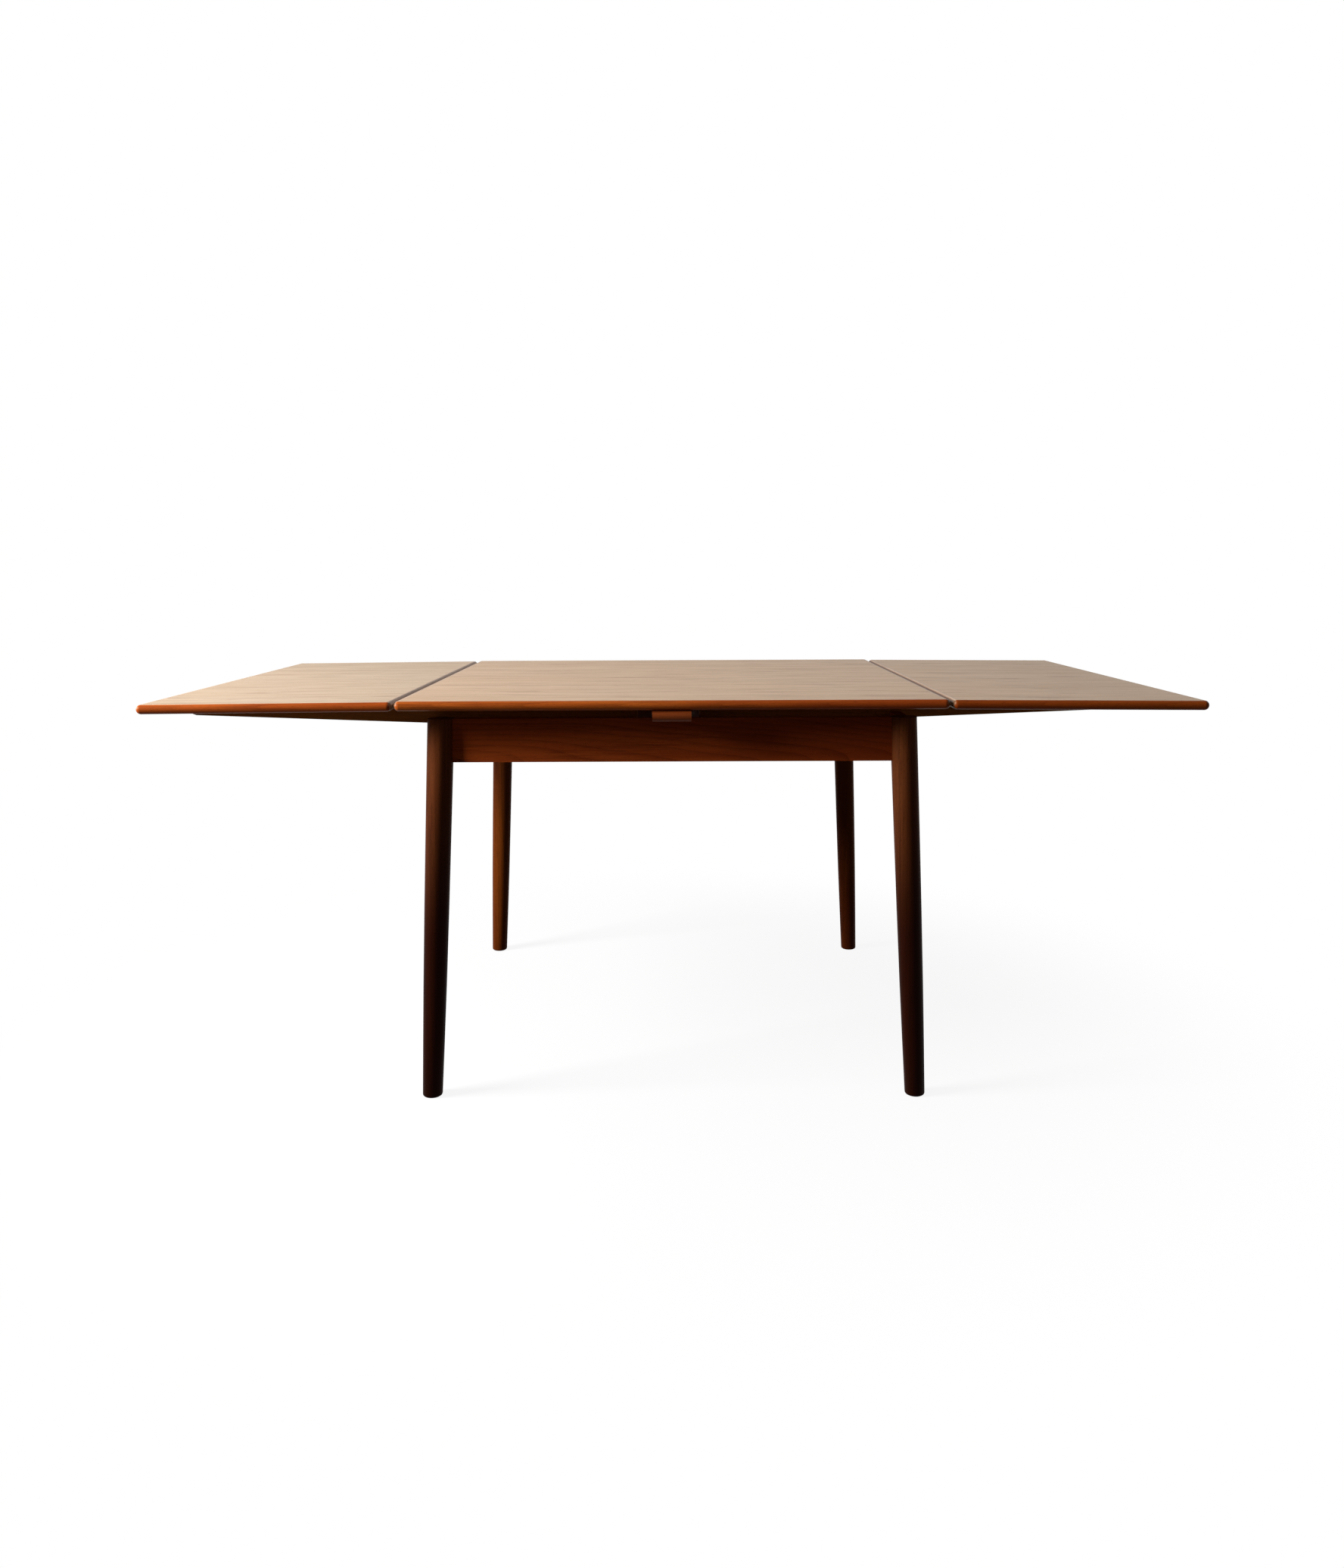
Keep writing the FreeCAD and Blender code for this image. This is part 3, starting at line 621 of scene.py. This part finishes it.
@dataclass(frozen=True)
class SteelFinish:
    """Zinc-plated screws and bolts."""

    name: str
    bright: Colour = (0.56, 0.56, 0.55)
    dull: Colour = (0.33, 0.32, 0.30)
    marks: Streaks = Streaks((900.0, 900.0, 4500.0), 2.0)
    mark_span: Span = (0.2, 0.7)
    cloud_pitch: float = 240.0
    cloud_detail: float = 4.0
    cloud_span: Span = (0.3, 0.7)
    roughness_low: float = 0.28
    roughness_gain: float = 0.25
    relief: float = 0.2
    relief_depth: float = 0.1 * MM

    def material(self) -> bpy.types.Material:
        """Build the plated metal with its fine turning marks.

        Returns:
            The material.
        """
        material, bench, shader = new_material(self.name)
        place = bench.add("TexCoord").outputs["Object"]
        marks = self.marks.draw(bench, place)
        clouds = bench.noise(place, self.cloud_pitch, self.cloud_detail)
        clouded = bench.between(clouds, *self.cloud_span)
        tone = bench.math("MULTIPLY", clouded, bench.between(marks, *self.mark_span))
        bench.feed(shader.inputs["Base Color"], bench.blend(tone, self.dull, self.bright))
        rough = bench.math("MULTIPLY_ADD", marks, self.roughness_gain, self.roughness_low)
        bench.feed(shader.inputs["Roughness"], rough)
        shader.inputs["Metallic"].default_value = 1.0
        bump = bench.add("Bump", Height=marks, Strength=self.relief, Distance=self.relief_depth)
        bench.feed(shader.inputs["Normal"], bump.outputs["Normal"])
        return material


@dataclass(frozen=True)
class FeltFinish:
    """Pressed wool felt."""

    name: str
    light: Colour = (0.075, 0.11, 0.06)
    deep: Colour = (0.02, 0.035, 0.016)
    tangle_pitch: float = 900.0
    tangle_detail: float = 6.0
    tangle_twist: float = 1.5
    tangle_span: Span = (0.3, 0.7)
    cloud_pitch: float = 60.0
    cloud_detail: float = 3.0
    cloud_gain: float = 0.6
    cloud_least: float = 0.5
    roughness_low: float = 0.88
    roughness_gain: float = 0.1
    relief: float = 0.6
    relief_depth: float = 0.4 * MM
    sheen: float = 0.04
    specular: float = 0.05

    def material(self) -> bpy.types.Material:
        """Build the felt with its tangled fibres.

        Returns:
            The material.
        """
        material, bench, shader = new_material(self.name)
        place = bench.add("TexCoord").outputs["Object"]
        fibres = bench.add(
            "TexNoise",
            Vector=place,
            Scale=self.tangle_pitch,
            Detail=self.tangle_detail,
            Distortion=self.tangle_twist,
        )
        tangle = fibres.outputs[0]
        clouds = bench.noise(place, self.cloud_pitch, self.cloud_detail)
        clouded = bench.math("MULTIPLY_ADD", clouds, self.cloud_gain, self.cloud_least)
        tone = bench.math("MULTIPLY", bench.between(tangle, *self.tangle_span), clouded)
        bench.feed(shader.inputs["Base Color"], bench.blend(tone, self.deep, self.light))
        rough = bench.math("MULTIPLY_ADD", tangle, self.roughness_gain, self.roughness_low)
        bench.feed(shader.inputs["Roughness"], rough)
        bump = bench.add("Bump", Height=tangle, Strength=self.relief, Distance=self.relief_depth)
        bench.feed(shader.inputs["Normal"], bump.outputs["Normal"])
        shader.inputs["Sheen Weight"].default_value = self.sheen
        shader.inputs["Specular IOR Level"].default_value = self.specular
        return material


# Pale veneer tone; also the painted sheen on the top side of the long lippings and leaf ends.
VENEER_AND_SHEEN_TEAK = Tones((0.540, 0.368, 0.230), (0.495, 0.326, 0.196), (0.22, 0.105, 0.055))
# Paler, greyer copy of the veneer tone for the left leaf nearest the lamp: painted sheen.
LEFT_SHEEN_VENEER_TEAK = Tones((0.497, 0.366, 0.245), (0.455, 0.324, 0.209), (0.21, 0.107, 0.060))
# Painted sheen on the top side of the side and inner lippings.
SIDE_SHEEN_TEAK = Tones((0.490, 0.345, 0.240), (0.420, 0.285, 0.190), (0.21, 0.110, 0.065))
# Paler copy of the painted slot shade, for the left leaf's inner lipping.
LEFT_SLOT_SHADE_TEAK = Tones((0.400, 0.235, 0.140), (0.330, 0.185, 0.105), (0.150, 0.070, 0.036))
# Painted shade: dark tone of the side and inner lippings, standing for the shade in the slots between
# top and leaves.
SLOT_SHADE_TEAK = Tones((0.200, 0.098, 0.048), (0.145, 0.066, 0.031), (0.06, 0.024, 0.011))
ORANGE_TEAK = Tones((0.44, 0.098, 0.012), (0.30, 0.050, 0.006), (0.10, 0.015, 0.002))
# Painted shade: darker copy of the edge tone for the right leaf's long lippings, further from the lamp.
RIGHT_EDGE_SHADE_TEAK = Tones((0.33, 0.064, 0.006), (0.22, 0.032, 0.003), (0.07, 0.009, 0.001))
# Painted shade: browner, darker copy of the edge tone for the leaf ends, which face the lamp.
END_SHADE_TEAK = Tones((0.270, 0.095, 0.028), (0.190, 0.058, 0.015), (0.07, 0.018, 0.005))
# Painted shade: darkened tone of the bearers, centre rail and nosing, which sit under the top.
SHADED_TEAK = Tones((0.21, 0.043, 0.007), (0.15, 0.025, 0.004), (0.05, 0.008, 0.001))
RED_TEAK = Tones((0.33, 0.058, 0.0090), (0.23, 0.034, 0.0050), (0.08, 0.010, 0.0020))
BROWN_TEAK = Tones((0.170, 0.046, 0.013), (0.098, 0.022, 0.006), (0.030, 0.006, 0.0015))
# Painted shade at the foot of the front legs.
FRONT_FOOT_SHADE_TEAK = Tones((0.018, 0.0030, 0.0007), (0.010, 0.0016, 0.0004), (0.004, 0.0007, 0.0002))
# Lighter painted shade at the foot of the back legs.
BACK_FOOT_SHADE_TEAK = Tones((0.148, 0.034, 0.004), (0.084, 0.015, 0.002), (0.026, 0.0040, 0.0007))
RUNNER_TONES = Tones((0.44, 0.160, 0.035), (0.32, 0.102, 0.020), (0.13, 0.036, 0.007))
BEECH_TONES = Tones((0.33, 0.190, 0.085), (0.24, 0.128, 0.055), (0.11, 0.050, 0.020))

VENEER = WoodFinish(
    name="teak_veneer",
    tones=VENEER_AND_SHEEN_TEAK,
    ring_spacing=0.0085,
    ring_depth=0.14,
    wander=0.03,
    vein_depth=0.78,
    fibre_depth=0.60,
    pore_depth=0.34,
    roughness_low=0.40,
    roughness_high=0.54,
    specular=0.10,
    relief=0.08,
    wear=0.2,
)
# Left leaf's veneer: a greyer copy, painted sheen.
LEFT_SHEEN_VENEER = replace(VENEER, name="left_sheen_veneer", tones=LEFT_SHEEN_VENEER_TEAK)
# Long lippings: painted sheen on their top side and painted highlights on their corners.
EDGE = EdgeFinish(
    name="teak_edge",
    tones=ORANGE_TEAK,
    sheen_tones=VENEER_AND_SHEEN_TEAK,
    ring_spacing=0.006,
    ring_depth=0.3,
    wander=0.02,
    vein_depth=0.4,
    fibre_depth=0.35,
    roughness_low=0.34,
    roughness_high=0.46,
    specular=0.05,
    relief=0.08,
    wear=0.3,
)
# Side and inner lippings: painted slot shade in their own tones, with painted sheen on their top side.
SIDE_EDGE = replace(
    EDGE,
    name="teak_side_edge",
    tones=SLOT_SHADE_TEAK,
    sheen_tones=SIDE_SHEEN_TEAK,
    sheen_from=0.72,
    sheen_to=0.93,
    corner_highlight=0.0,
)
# Left leaf's inner lipping: a paler copy of the painted slot shade.
LEFT_SLOT_SHADE_EDGE = replace(SIDE_EDGE, name="teak_left_slot_shade_edge", tones=LEFT_SLOT_SHADE_TEAK)
# Right leaf's long lippings: a darker copy of the edge, painted shade.
RIGHT_SHADED_EDGE = replace(EDGE, name="teak_right_shaded_edge", tones=RIGHT_EDGE_SHADE_TEAK)
# Leaf ends: a browner copy of the edge tone as painted shade, and painted sheen over more of their
# rounding.
END_EDGE = replace(EDGE, name="teak_end_edge", tones=END_SHADE_TEAK, sheen_from=0.50, sheen_to=0.90)
NOSING = WoodFinish(
    name="teak_nosing",
    tones=SHADED_TEAK,
    ring_depth=0.3,
    roughness_low=0.38,
    roughness_high=0.50,
    specular=0.08,
    relief=0.08,
)
FRAME_TEAK = WoodFinish(
    name="teak_frame",
    tones=RED_TEAK,
    ring_spacing=0.0048,
    ring_depth=0.55,
    wander=0.045,
    vein_depth=0.35,
    fibre_depth=0.45,
    pore_depth=0.35,
    roughness_low=0.50,
    roughness_high=0.66,
    specular=0.03,
    relief=0.1,
)
FRONT_LEG_TEAK = LegFinish(
    name="teak_front_leg",
    tones=BROWN_TEAK,
    foot=FRONT_FOOT_SHADE_TEAK,
    ring_spacing=0.007,
    ring_depth=0.45,
    wander=0.03,
    vein_depth=0.3,
    fibre_depth=0.4,
    roughness_low=0.40,
    roughness_high=0.54,
    specular=0.02,
    relief=0.1,
)
# The back legs get a lighter painted shade at the foot than the front legs.
BACK_LEG_TEAK = replace(FRONT_LEG_TEAK, name="teak_back_leg", foot=BACK_FOOT_SHADE_TEAK)
BEARER_TEAK = WoodFinish(
    name="teak_bearer",
    tones=SHADED_TEAK,
    roughness_low=0.44,
    roughness_high=0.58,
    specular=0.10,
)
RUNNER_WOOD = WoodFinish(
    name="oiled_runner",
    tones=RUNNER_TONES,
    ring_spacing=0.005,
    ring_depth=0.25,
    wander=0.012,
    vein_depth=0.2,
    fibre_depth=0.3,
    roughness_low=0.52,
    roughness_high=0.68,
    specular=0.03,
    wear=0.15,
)
BEECH = WoodFinish(
    name="beech",
    tones=BEECH_TONES,
    ring_spacing=0.005,
    ring_depth=0.2,
    wander=0.012,
    vein_depth=0.15,
    fibre_depth=0.25,
    pore_depth=0.55,
    roughness_low=0.60,
    roughness_high=0.75,
    relief=0.2,
    wear=0.15,
)
STEEL = SteelFinish("zinc_plate")
FELT = FeltFinish("wool_felt")


def new_material(name: str) -> tuple[bpy.types.Material, NodeBench, bpy.types.Node]:
    """Make an empty material with a Principled shader.

    Args:
        name: Name of the material.

    Returns:
        The material, the bench for its nodes, and its shader.
    """
    material = bpy.data.materials.new(name)
    material.use_nodes = True
    material.node_tree.nodes.clear()
    bench = NodeBench(material.node_tree)
    shader = bench.add("BsdfPrincipled")
    output = bench.add("OutputMaterial")
    bench.feed(output.inputs["Surface"], shader.outputs["BSDF"])
    return material, bench, shader


def dress(node: bpy.types.Object, material: bpy.types.Material) -> None:
    """Give a piece a finish through its material slots.

    Args:
        node: The piece.
        material: Its finish.
    """
    if not node.material_slots:
        node.data.materials.append(material)
    for slot in node.material_slots:
        slot.material = material


# Sub-assemblies.

@dataclass
class Top:
    """The loose top with its lippings and pegs."""

    nodes: Nodes
    panel_cut: BoardCut = BoardCut(GrainWay.LENGTHWISE, (0.0, 0.11, 0.55))
    long_cut: BoardCut = BoardCut(GrainWay.LENGTHWISE, (0.4, 0.0, 0.66))
    side_cut: BoardCut = BoardCut(GrainWay.CROSSWISE, (0.0, 0.2, 0.66))
    peg_cut: BoardCut = BoardCut(GrainWay.UPRIGHT)

    def finish(self) -> None:
        """Veneer on the panel, solid teak on its lippings, beech pegs."""
        dress(self.nodes["top_panel"], VENEER.material("top", self.panel_cut))
        long_edge = EDGE.material("top_long", self.long_cut)
        # The top's side lippings carry the painted slot shade.
        side_edge = SIDE_EDGE.material("top", self.side_cut)
        dress(self.nodes["top_front_lipping"], long_edge)
        dress(self.nodes["top_back_lipping"], long_edge)
        dress(self.nodes["top_left_lipping"], side_edge)
        dress(self.nodes["top_right_lipping"], side_edge)
        dress(self.nodes["top_pegs"], BEECH.material("pegs", self.peg_cut))


@dataclass
class Leaf:
    """One draw leaf with its lippings, runners, stops and screws."""

    nodes: Nodes
    steel: bpy.types.Material
    side: str
    heart: Triple
    veneer: WoodFinish
    long_edge: EdgeFinish
    inner_edge: EdgeFinish
    long_cut: BoardCut = BoardCut(GrainWay.LENGTHWISE, (1.4, 0.03, 0.64))
    cross_cut: BoardCut = BoardCut(GrainWay.CROSSWISE, (0.1, 0.9, 0.64))
    runner_cut: BoardCut = BoardCut(GrainWay.LENGTHWISE, (0.2, 0.0, 0.5))

    def finish(self) -> None:
        """Veneer, solid lippings, oiled runners below."""
        side = self.side
        leaf = f"{side}_leaf"
        panel_cut = BoardCut(GrainWay.LENGTHWISE, self.heart)
        dress(self.nodes[f"{leaf}_panel"], self.veneer.material(side, panel_cut))
        long_edge = self.long_edge.material(f"{side}_long", self.long_cut)
        for edge in ("front", "back"):
            dress(self.nodes[f"{leaf}_{edge}_lipping"], long_edge)
        # The inner lipping's finish carries the painted slot shade.
        dress(self.nodes[f"{leaf}_inner_lipping"], self.inner_edge.material(side, self.cross_cut))
        # The leaf ends get the browner painted-shade tone.
        dress(self.nodes[f"{leaf}_outer_lipping"], END_EDGE.material(side, self.cross_cut))
        runner = RUNNER_WOOD.material(side, self.runner_cut)
        for node in (f"{leaf}_inner_runner", f"{leaf}_outer_runner", f"{side}_runner_stops"):
            dress(self.nodes[node], runner)
        dress(self.nodes[f"{side}_runner_screws"], self.steel)


@dataclass
class TurnedLeg:
    """A round tapered leg that leans outwards both ways."""

    corner: str
    side_x: int
    side_y: int
    head_level: float = 688 * MM
    head_offset: float = 406.5 * MM
    foot_offset: float = 440 * MM
    facets: int = 72
    foot_round: float = 4.5 * MM
    foot_segments: int = 4
    # Shares of the way down the axis and radii in millimetres, from above the head to below the floor.
    taper: tuple[tuple[float, float], ...] = (
        (-0.02, 23.5),
        (0.12, 23.25),
        (0.3, 22.75),
        (0.5, 22.05),
        (0.7, 20.9),
        (0.85, 19.5),
        (1.02, 17.7),
    )

    def build(self) -> bpy.types.Object:
        """Turn the leg, lean it, and cut it level at the head and the floor.

        Returns:
            The leg as an object at the origin.
        """
        head = Vector((self.side_x * self.head_offset, self.side_y * self.head_offset, self.head_level))
        foot = Vector((self.side_x * self.foot_offset, self.side_y * self.foot_offset, 0.0))
        axis = foot - head
        mesh = bmesh.new()
        last, size = self.taper[0]
        bmesh.ops.create_circle(mesh, cap_ends=False, segments=self.facets, radius=size * MM)
        bmesh.ops.translate(mesh, vec=(0.0, 0.0, -last * axis.length), verts=mesh.verts)
        ring = list(mesh.edges)
        for share, next_size in self.taper[1:]:
            ring = self.draw_out(mesh, ring, (share - last) * axis.length, next_size / size)
            last, size = share, next_size
        bmesh.ops.transform(mesh, matrix=self.stand(head, axis), verts=mesh.verts)
        self.cut_level(mesh, 0.0, -1.0)
        self.cut_level(mesh, self.head_level, 1.0)
        self.round_foot(mesh)
        bmesh.ops.recalc_face_normals(mesh, faces=mesh.faces)
        return finished_piece(mesh, f"{self.corner}_turned_leg")

    def draw_out(
        self, mesh: bmesh.types.BMesh, ring: list[bmesh.types.BMEdge], length: float, scale: float
    ) -> list[bmesh.types.BMEdge]:
        """Extrude a ring of edges downwards and scale its new end.

        Args:
            mesh: The leg so far, hanging down from its head.
            ring: Edges of its lower end.
            length: Distance to the next ring.
            scale: Radius of the next ring over this one's.

        Returns:
            The edges of the new end.
        """
        grown = bmesh.ops.extrude_edge_only(mesh, edges=ring)["geom"]
        verts = [item for item in grown if isinstance(item, bmesh.types.BMVert)]
        edges = [item for item in grown if isinstance(item, bmesh.types.BMEdge)]
        bmesh.ops.scale(mesh, vec=(scale, scale, 1.0), verts=verts)
        bmesh.ops.translate(mesh, vec=(0.0, 0.0, -length), verts=verts)
        return edges

    def stand(self, head: Vector, axis: Vector) -> Matrix:
        """Matrix that hangs a turning on -Z from the leg's head along its leaning axis."""
        turn = Vector((0.0, 0.0, -1.0)).rotation_difference(axis.normalized())
        return Matrix.Translation(head) @ turn.to_matrix().to_4x4()

    def cut_level(self, mesh: bmesh.types.BMesh, level: float, way: float) -> None:
        """Saw the leg off at a level and close the cut.

        Args:
            mesh: The leg.
            level: Height of the cut.
            way: 1 to take off what is above it, -1 what is below.
        """
        cut = bmesh.ops.bisect_plane(
            mesh,
            geom=[*mesh.verts, *mesh.edges, *mesh.faces],
            plane_co=(0.0, 0.0, level),
            plane_no=(0.0, 0.0, way),
            clear_outer=True,
        )["geom_cut"]
        edges = [item for item in cut if isinstance(item, bmesh.types.BMEdge)]
        bmesh.ops.contextual_create(mesh, geom=edges)

    def round_foot(self, mesh: bmesh.types.BMesh) -> None:
        """Soften the edge on which the leg stands.

        Args:
            mesh: The leg, cut off at the floor.
        """
        edges = [edge for edge in mesh.edges if all(abs(vert.co.z) < TOUCH for vert in edge.verts)]
        bmesh.ops.bevel(
            mesh,
            geom=edges,
            offset=self.foot_round,
            offset_type="OFFSET",
            affect="EDGES",
            segments=self.foot_segments,
            profile=0.5,
            material=-1,
        )


def finished_piece(mesh: bmesh.types.BMesh, name: str) -> bpy.types.Object:
    """Turn a bmesh into an object at the origin, smooth but for its sharp edges.

    Args:
        mesh: The finished mesh; it is freed.
        name: Name of the object.

    Returns:
        The linked object.
    """
    data = bpy.data.meshes.new(name)
    mesh.to_mesh(data)
    mesh.free()
    data.polygons.foreach_set("use_smooth", [True] * len(data.polygons))
    data.set_sharp_from_angle(angle=SMOOTH_ANGLE)
    piece = bpy.data.objects.new(name, data)
    bpy.context.scene.collection.objects.link(piece)
    return piece


@dataclass
class Frame:
    """Legs, aprons, centre rail, corner blocks, dowels and bolts."""

    nodes: Nodes
    steel: bpy.types.Material
    leg_heart_x: float = 0.30
    leg_heart_y: float = 0.36
    rail_cut: BoardCut = BoardCut(GrainWay.CROSSWISE, (0.02, 0.1, 0.5))
    block_cut: BoardCut = BoardCut(GrainWay.LENGTHWISE, (0.0, 0.1, 0.55))
    corners: tuple[tuple[str, int, int], ...] = (
        ("front_left", -1, -1),
        ("front_right", 1, -1),
        ("back_left", -1, 1),
        ("back_right", 1, 1),
    )
    apron_cuts: tuple[tuple[str, BoardCut], ...] = (
        ("front", BoardCut(GrainWay.LENGTHWISE, (0.1, -0.30, 0.60))),
        ("back", BoardCut(GrainWay.LENGTHWISE, (0.7, 0.31, 0.59))),
        ("left", BoardCut(GrainWay.CROSSWISE, (-0.31, 0.2, 0.60))),
        ("right", BoardCut(GrainWay.CROSSWISE, (0.30, 0.5, 0.60))),
    )

    def build(self) -> None:
        """Turn the four legs, each in place of its plain solid."""
        for corner, side_x, side_y in self.corners:
            leg = TurnedLeg(corner, side_x, side_y).build()
            heart = (side_x * self.leg_heart_x, side_y * self.leg_heart_y, 0.0)
            finish = FRONT_LEG_TEAK if side_y < 0 else BACK_LEG_TEAK
            dress(leg, finish.material(corner, BoardCut(GrainWay.UPRIGHT, heart)))
            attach(leg, "frame")
            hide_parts(f"{corner}_leg")
            LOG.info("turned %s leg", corner)

    def finish(self) -> None:
        """Dark teak on the aprons and the rail, beech on the hidden joinery."""
        for side, cut in self.apron_cuts:
            dress(self.nodes[f"{side}_apron"], FRAME_TEAK.material(side, cut))
        dress(self.nodes["centre_rail"], BEARER_TEAK.material("rail", self.rail_cut))
        beech = BEECH.material("blocks", self.block_cut)
        for corner, _, _ in self.corners:
            dress(self.nodes[f"{corner}_corner_block"], beech)
        dress(self.nodes["apron_dowels"], beech)
        dress(self.nodes["corner_bolts"], self.steel)


@dataclass
class Bearers:
    """The two bearers of the top with their nosings, screws and felt."""

    nodes: Nodes
    steel: bpy.types.Material
    board_cut: BoardCut = BoardCut(GrainWay.CROSSWISE, (0.0, 0.3, 0.6))
    nosing_cut: BoardCut = BoardCut(GrainWay.LENGTHWISE, (0.3, 0.0, 0.62))

    def finish(self) -> None:
        """Teak boards and nosings, felt pads on top."""
        board = BEARER_TEAK.material("board", self.board_cut)
        nosing = NOSING.material("plain", self.nosing_cut)
        for side in ("front", "back"):
            dress(self.nodes[f"{side}_bearer"], board)
            dress(self.nodes[f"{side}_bearer_nosing"], nosing)
        dress(self.nodes["bearer_screws"], self.steel)
        dress(self.nodes["felt_pads"], FELT.material())


# Studio.

@dataclass(frozen=True)
class Lamp:
    """A square area lamp aimed at a point."""

    name: str
    place: Triple
    target: Triple
    size: float
    power: float

    def build(self) -> None:
        """Hang the lamp."""
        data = bpy.data.lights.new(self.name, "AREA")
        data.size = self.size
        data.energy = self.power
        lamp = bpy.data.objects.new(self.name, data)
        lamp.location = self.place
        aim = Vector(self.target) - Vector(self.place)
        lamp.rotation_euler = aim.to_track_quat("-Z", "Y").to_euler()
        bpy.context.scene.collection.objects.link(lamp)


@dataclass
class Studio:
    """Floor, lamps, white surroundings and camera."""

    floor_size: float = 40.0
    floor_drop: float = 0.2 * MM
    floor_shown: Colour = (0.93, 0.93, 0.93)
    floor_bounce: Colour = (0.07, 0.065, 0.06)
    floor_roughness: float = 0.95
    fill: float = 0.06
    shadow_veil: float = 0.90
    veil_span: Span = (0.5, 1.4)
    lamps: tuple[Lamp, ...] = (
        Lamp("window_left", (-2.95, -1.05, 1.85), (0.0, 0.0, 0.8), 1.1, 220.0),
        Lamp("overhead", (-0.6, 0.5, 3.2), (0.0, 0.0, 0.7), 2.6, 12.0),
    )
    film_width: float = 36.0
    lens: float = 33.22
    eye: Triple = (0.0067, -2.5751, 0.9466)
    # Degrees: to the right, downwards and clockwise.
    yaw: float = -0.19
    pitch: float = 9.87
    roll: float = 0.25

    def build(self) -> None:
        """Set up everything round the table."""
        self.build_world()
        self.build_floor()
        for lamp in self.lamps:
            lamp.build()
        self.build_camera()
        bpy.context.scene.view_settings.view_transform = "Standard"

    def seen(self, bench: NodeBench) -> bpy.types.NodeSocket:
        """Find the rays that see the background: camera, glossy and transmission.

        Args:
            bench: Bench of the material or world.

        Returns:
            Their mask.
        """
        path = bench.add("LightPath")
        mirrored = bench.math("MAXIMUM", path.outputs["Is Camera Ray"], path.outputs["Is Glossy Ray"])
        return bench.math("MAXIMUM", mirrored, path.outputs["Is Transmission Ray"])

    def build_world(self) -> None:
        """White surroundings that light the table at a lower level than they show."""
        world = bpy.data.worlds.new("white_surroundings")
        world.use_nodes = True
        world.node_tree.nodes.clear()
        bench = NodeBench(world.node_tree)
        strength = bench.math("MULTIPLY_ADD", self.seen(bench), 1.0 - self.fill, self.fill)
        back = bench.add("Background", Color=WHITE, Strength=strength)
        output = bench.add("OutputWorld")
        bench.feed(output.inputs["Surface"], back.outputs[0])
        bpy.context.scene.world = world

    def build_floor(self) -> None:
        """Pale floor that takes the shadow near the table and fades to white around it."""
        mesh = bmesh.new()
        bmesh.ops.create_grid(mesh, x_segments=2, y_segments=2, size=self.floor_size / 2)
        bmesh.ops.translate(mesh, vec=(0.0, 0.0, -self.floor_drop), verts=mesh.verts)
        floor = finished_piece(mesh, "studio_floor")
        material, bench, shader = new_material("pale_floor")
        seen = self.seen(bench)
        colour = bench.blend(seen, self.floor_bounce, self.floor_shown)
        bench.feed(shader.inputs["Base Color"], colour)
        shader.inputs["Roughness"].default_value = self.floor_roughness
        shader.inputs["Specular IOR Level"].default_value = 0.0
        glow = bench.add("Emission", Color=WHITE, Strength=1.0)
        place = bench.add("TexCoord").outputs["Object"]
        away = bench.between(bench.vector("LENGTH", place), *self.veil_span)
        whitened = bench.math("MULTIPLY_ADD", away, 1.0 - self.shadow_veil, self.shadow_veil)
        mixer = bench.add("MixShader", Fac=bench.math("MULTIPLY", whitened, seen))
        bench.feed(mixer.inputs[1], shader.outputs[0])
        bench.feed(mixer.inputs[2], glow.outputs[0])
        output = next(node for node in material.node_tree.nodes if node.type == "OUTPUT_MATERIAL")
        bench.feed(output.inputs["Surface"], mixer.outputs[0])
        dress(floor, material)

    def build_camera(self) -> None:
        """Camera in front of the table, a little above its top."""
        data = bpy.data.cameras.new("camera")
        data.sensor_fit = "HORIZONTAL"
        data.sensor_width = self.film_width
        data.lens = self.lens
        camera = bpy.data.objects.new("camera", data)
        yaw, pitch, roll = (math.radians(angle) for angle in (self.yaw, self.pitch, self.roll))
        flat = math.cos(pitch)
        ahead = Vector((math.sin(yaw) * flat, math.cos(yaw) * flat, -math.sin(pitch)))
        level = Vector((math.cos(yaw), -math.sin(yaw), 0.0))
        down = ahead.cross(level)
        right = math.cos(roll) * level + math.sin(roll) * down
        below = -math.sin(roll) * level + math.cos(roll) * down
        turn = Matrix((right, -below, -ahead)).transposed()
        camera.matrix_world = Matrix.Translation(self.eye) @ turn.to_4x4()
        bpy.context.scene.collection.objects.link(camera)
        bpy.context.scene.camera = camera


def main() -> None:
    """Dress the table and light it."""
    logging.basicConfig(level=logging.INFO, format="%(name)s: %(message)s")
    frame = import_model()
    nodes = frame["nodes"]
    steel = STEEL.material()
    woodwork = Frame(nodes, steel)
    woodwork.build()
    woodwork.finish()
    LOG.info("frame dressed")
    Bearers(nodes, steel).finish()
    LOG.info("bearers dressed")
    Top(nodes).finish()
    LOG.info("top dressed")
    # Left leaf: greyer veneer as painted sheen, and a paler painted slot shade on its inner lipping.
    Leaf(nodes, steel, "left", (0.2, 0.05, 0.5), LEFT_SHEEN_VENEER, EDGE, LEFT_SLOT_SHADE_EDGE).finish()
    LOG.info("left leaf dressed")
    # Right leaf: darker long lippings as painted shade.
    Leaf(nodes, steel, "right", (0.9, -0.12, 0.53), VENEER, RIGHT_SHADED_EDGE, SIDE_EDGE).finish()
    LOG.info("right leaf dressed")
    Studio().build()


if __name__ == "__main__":
    main()
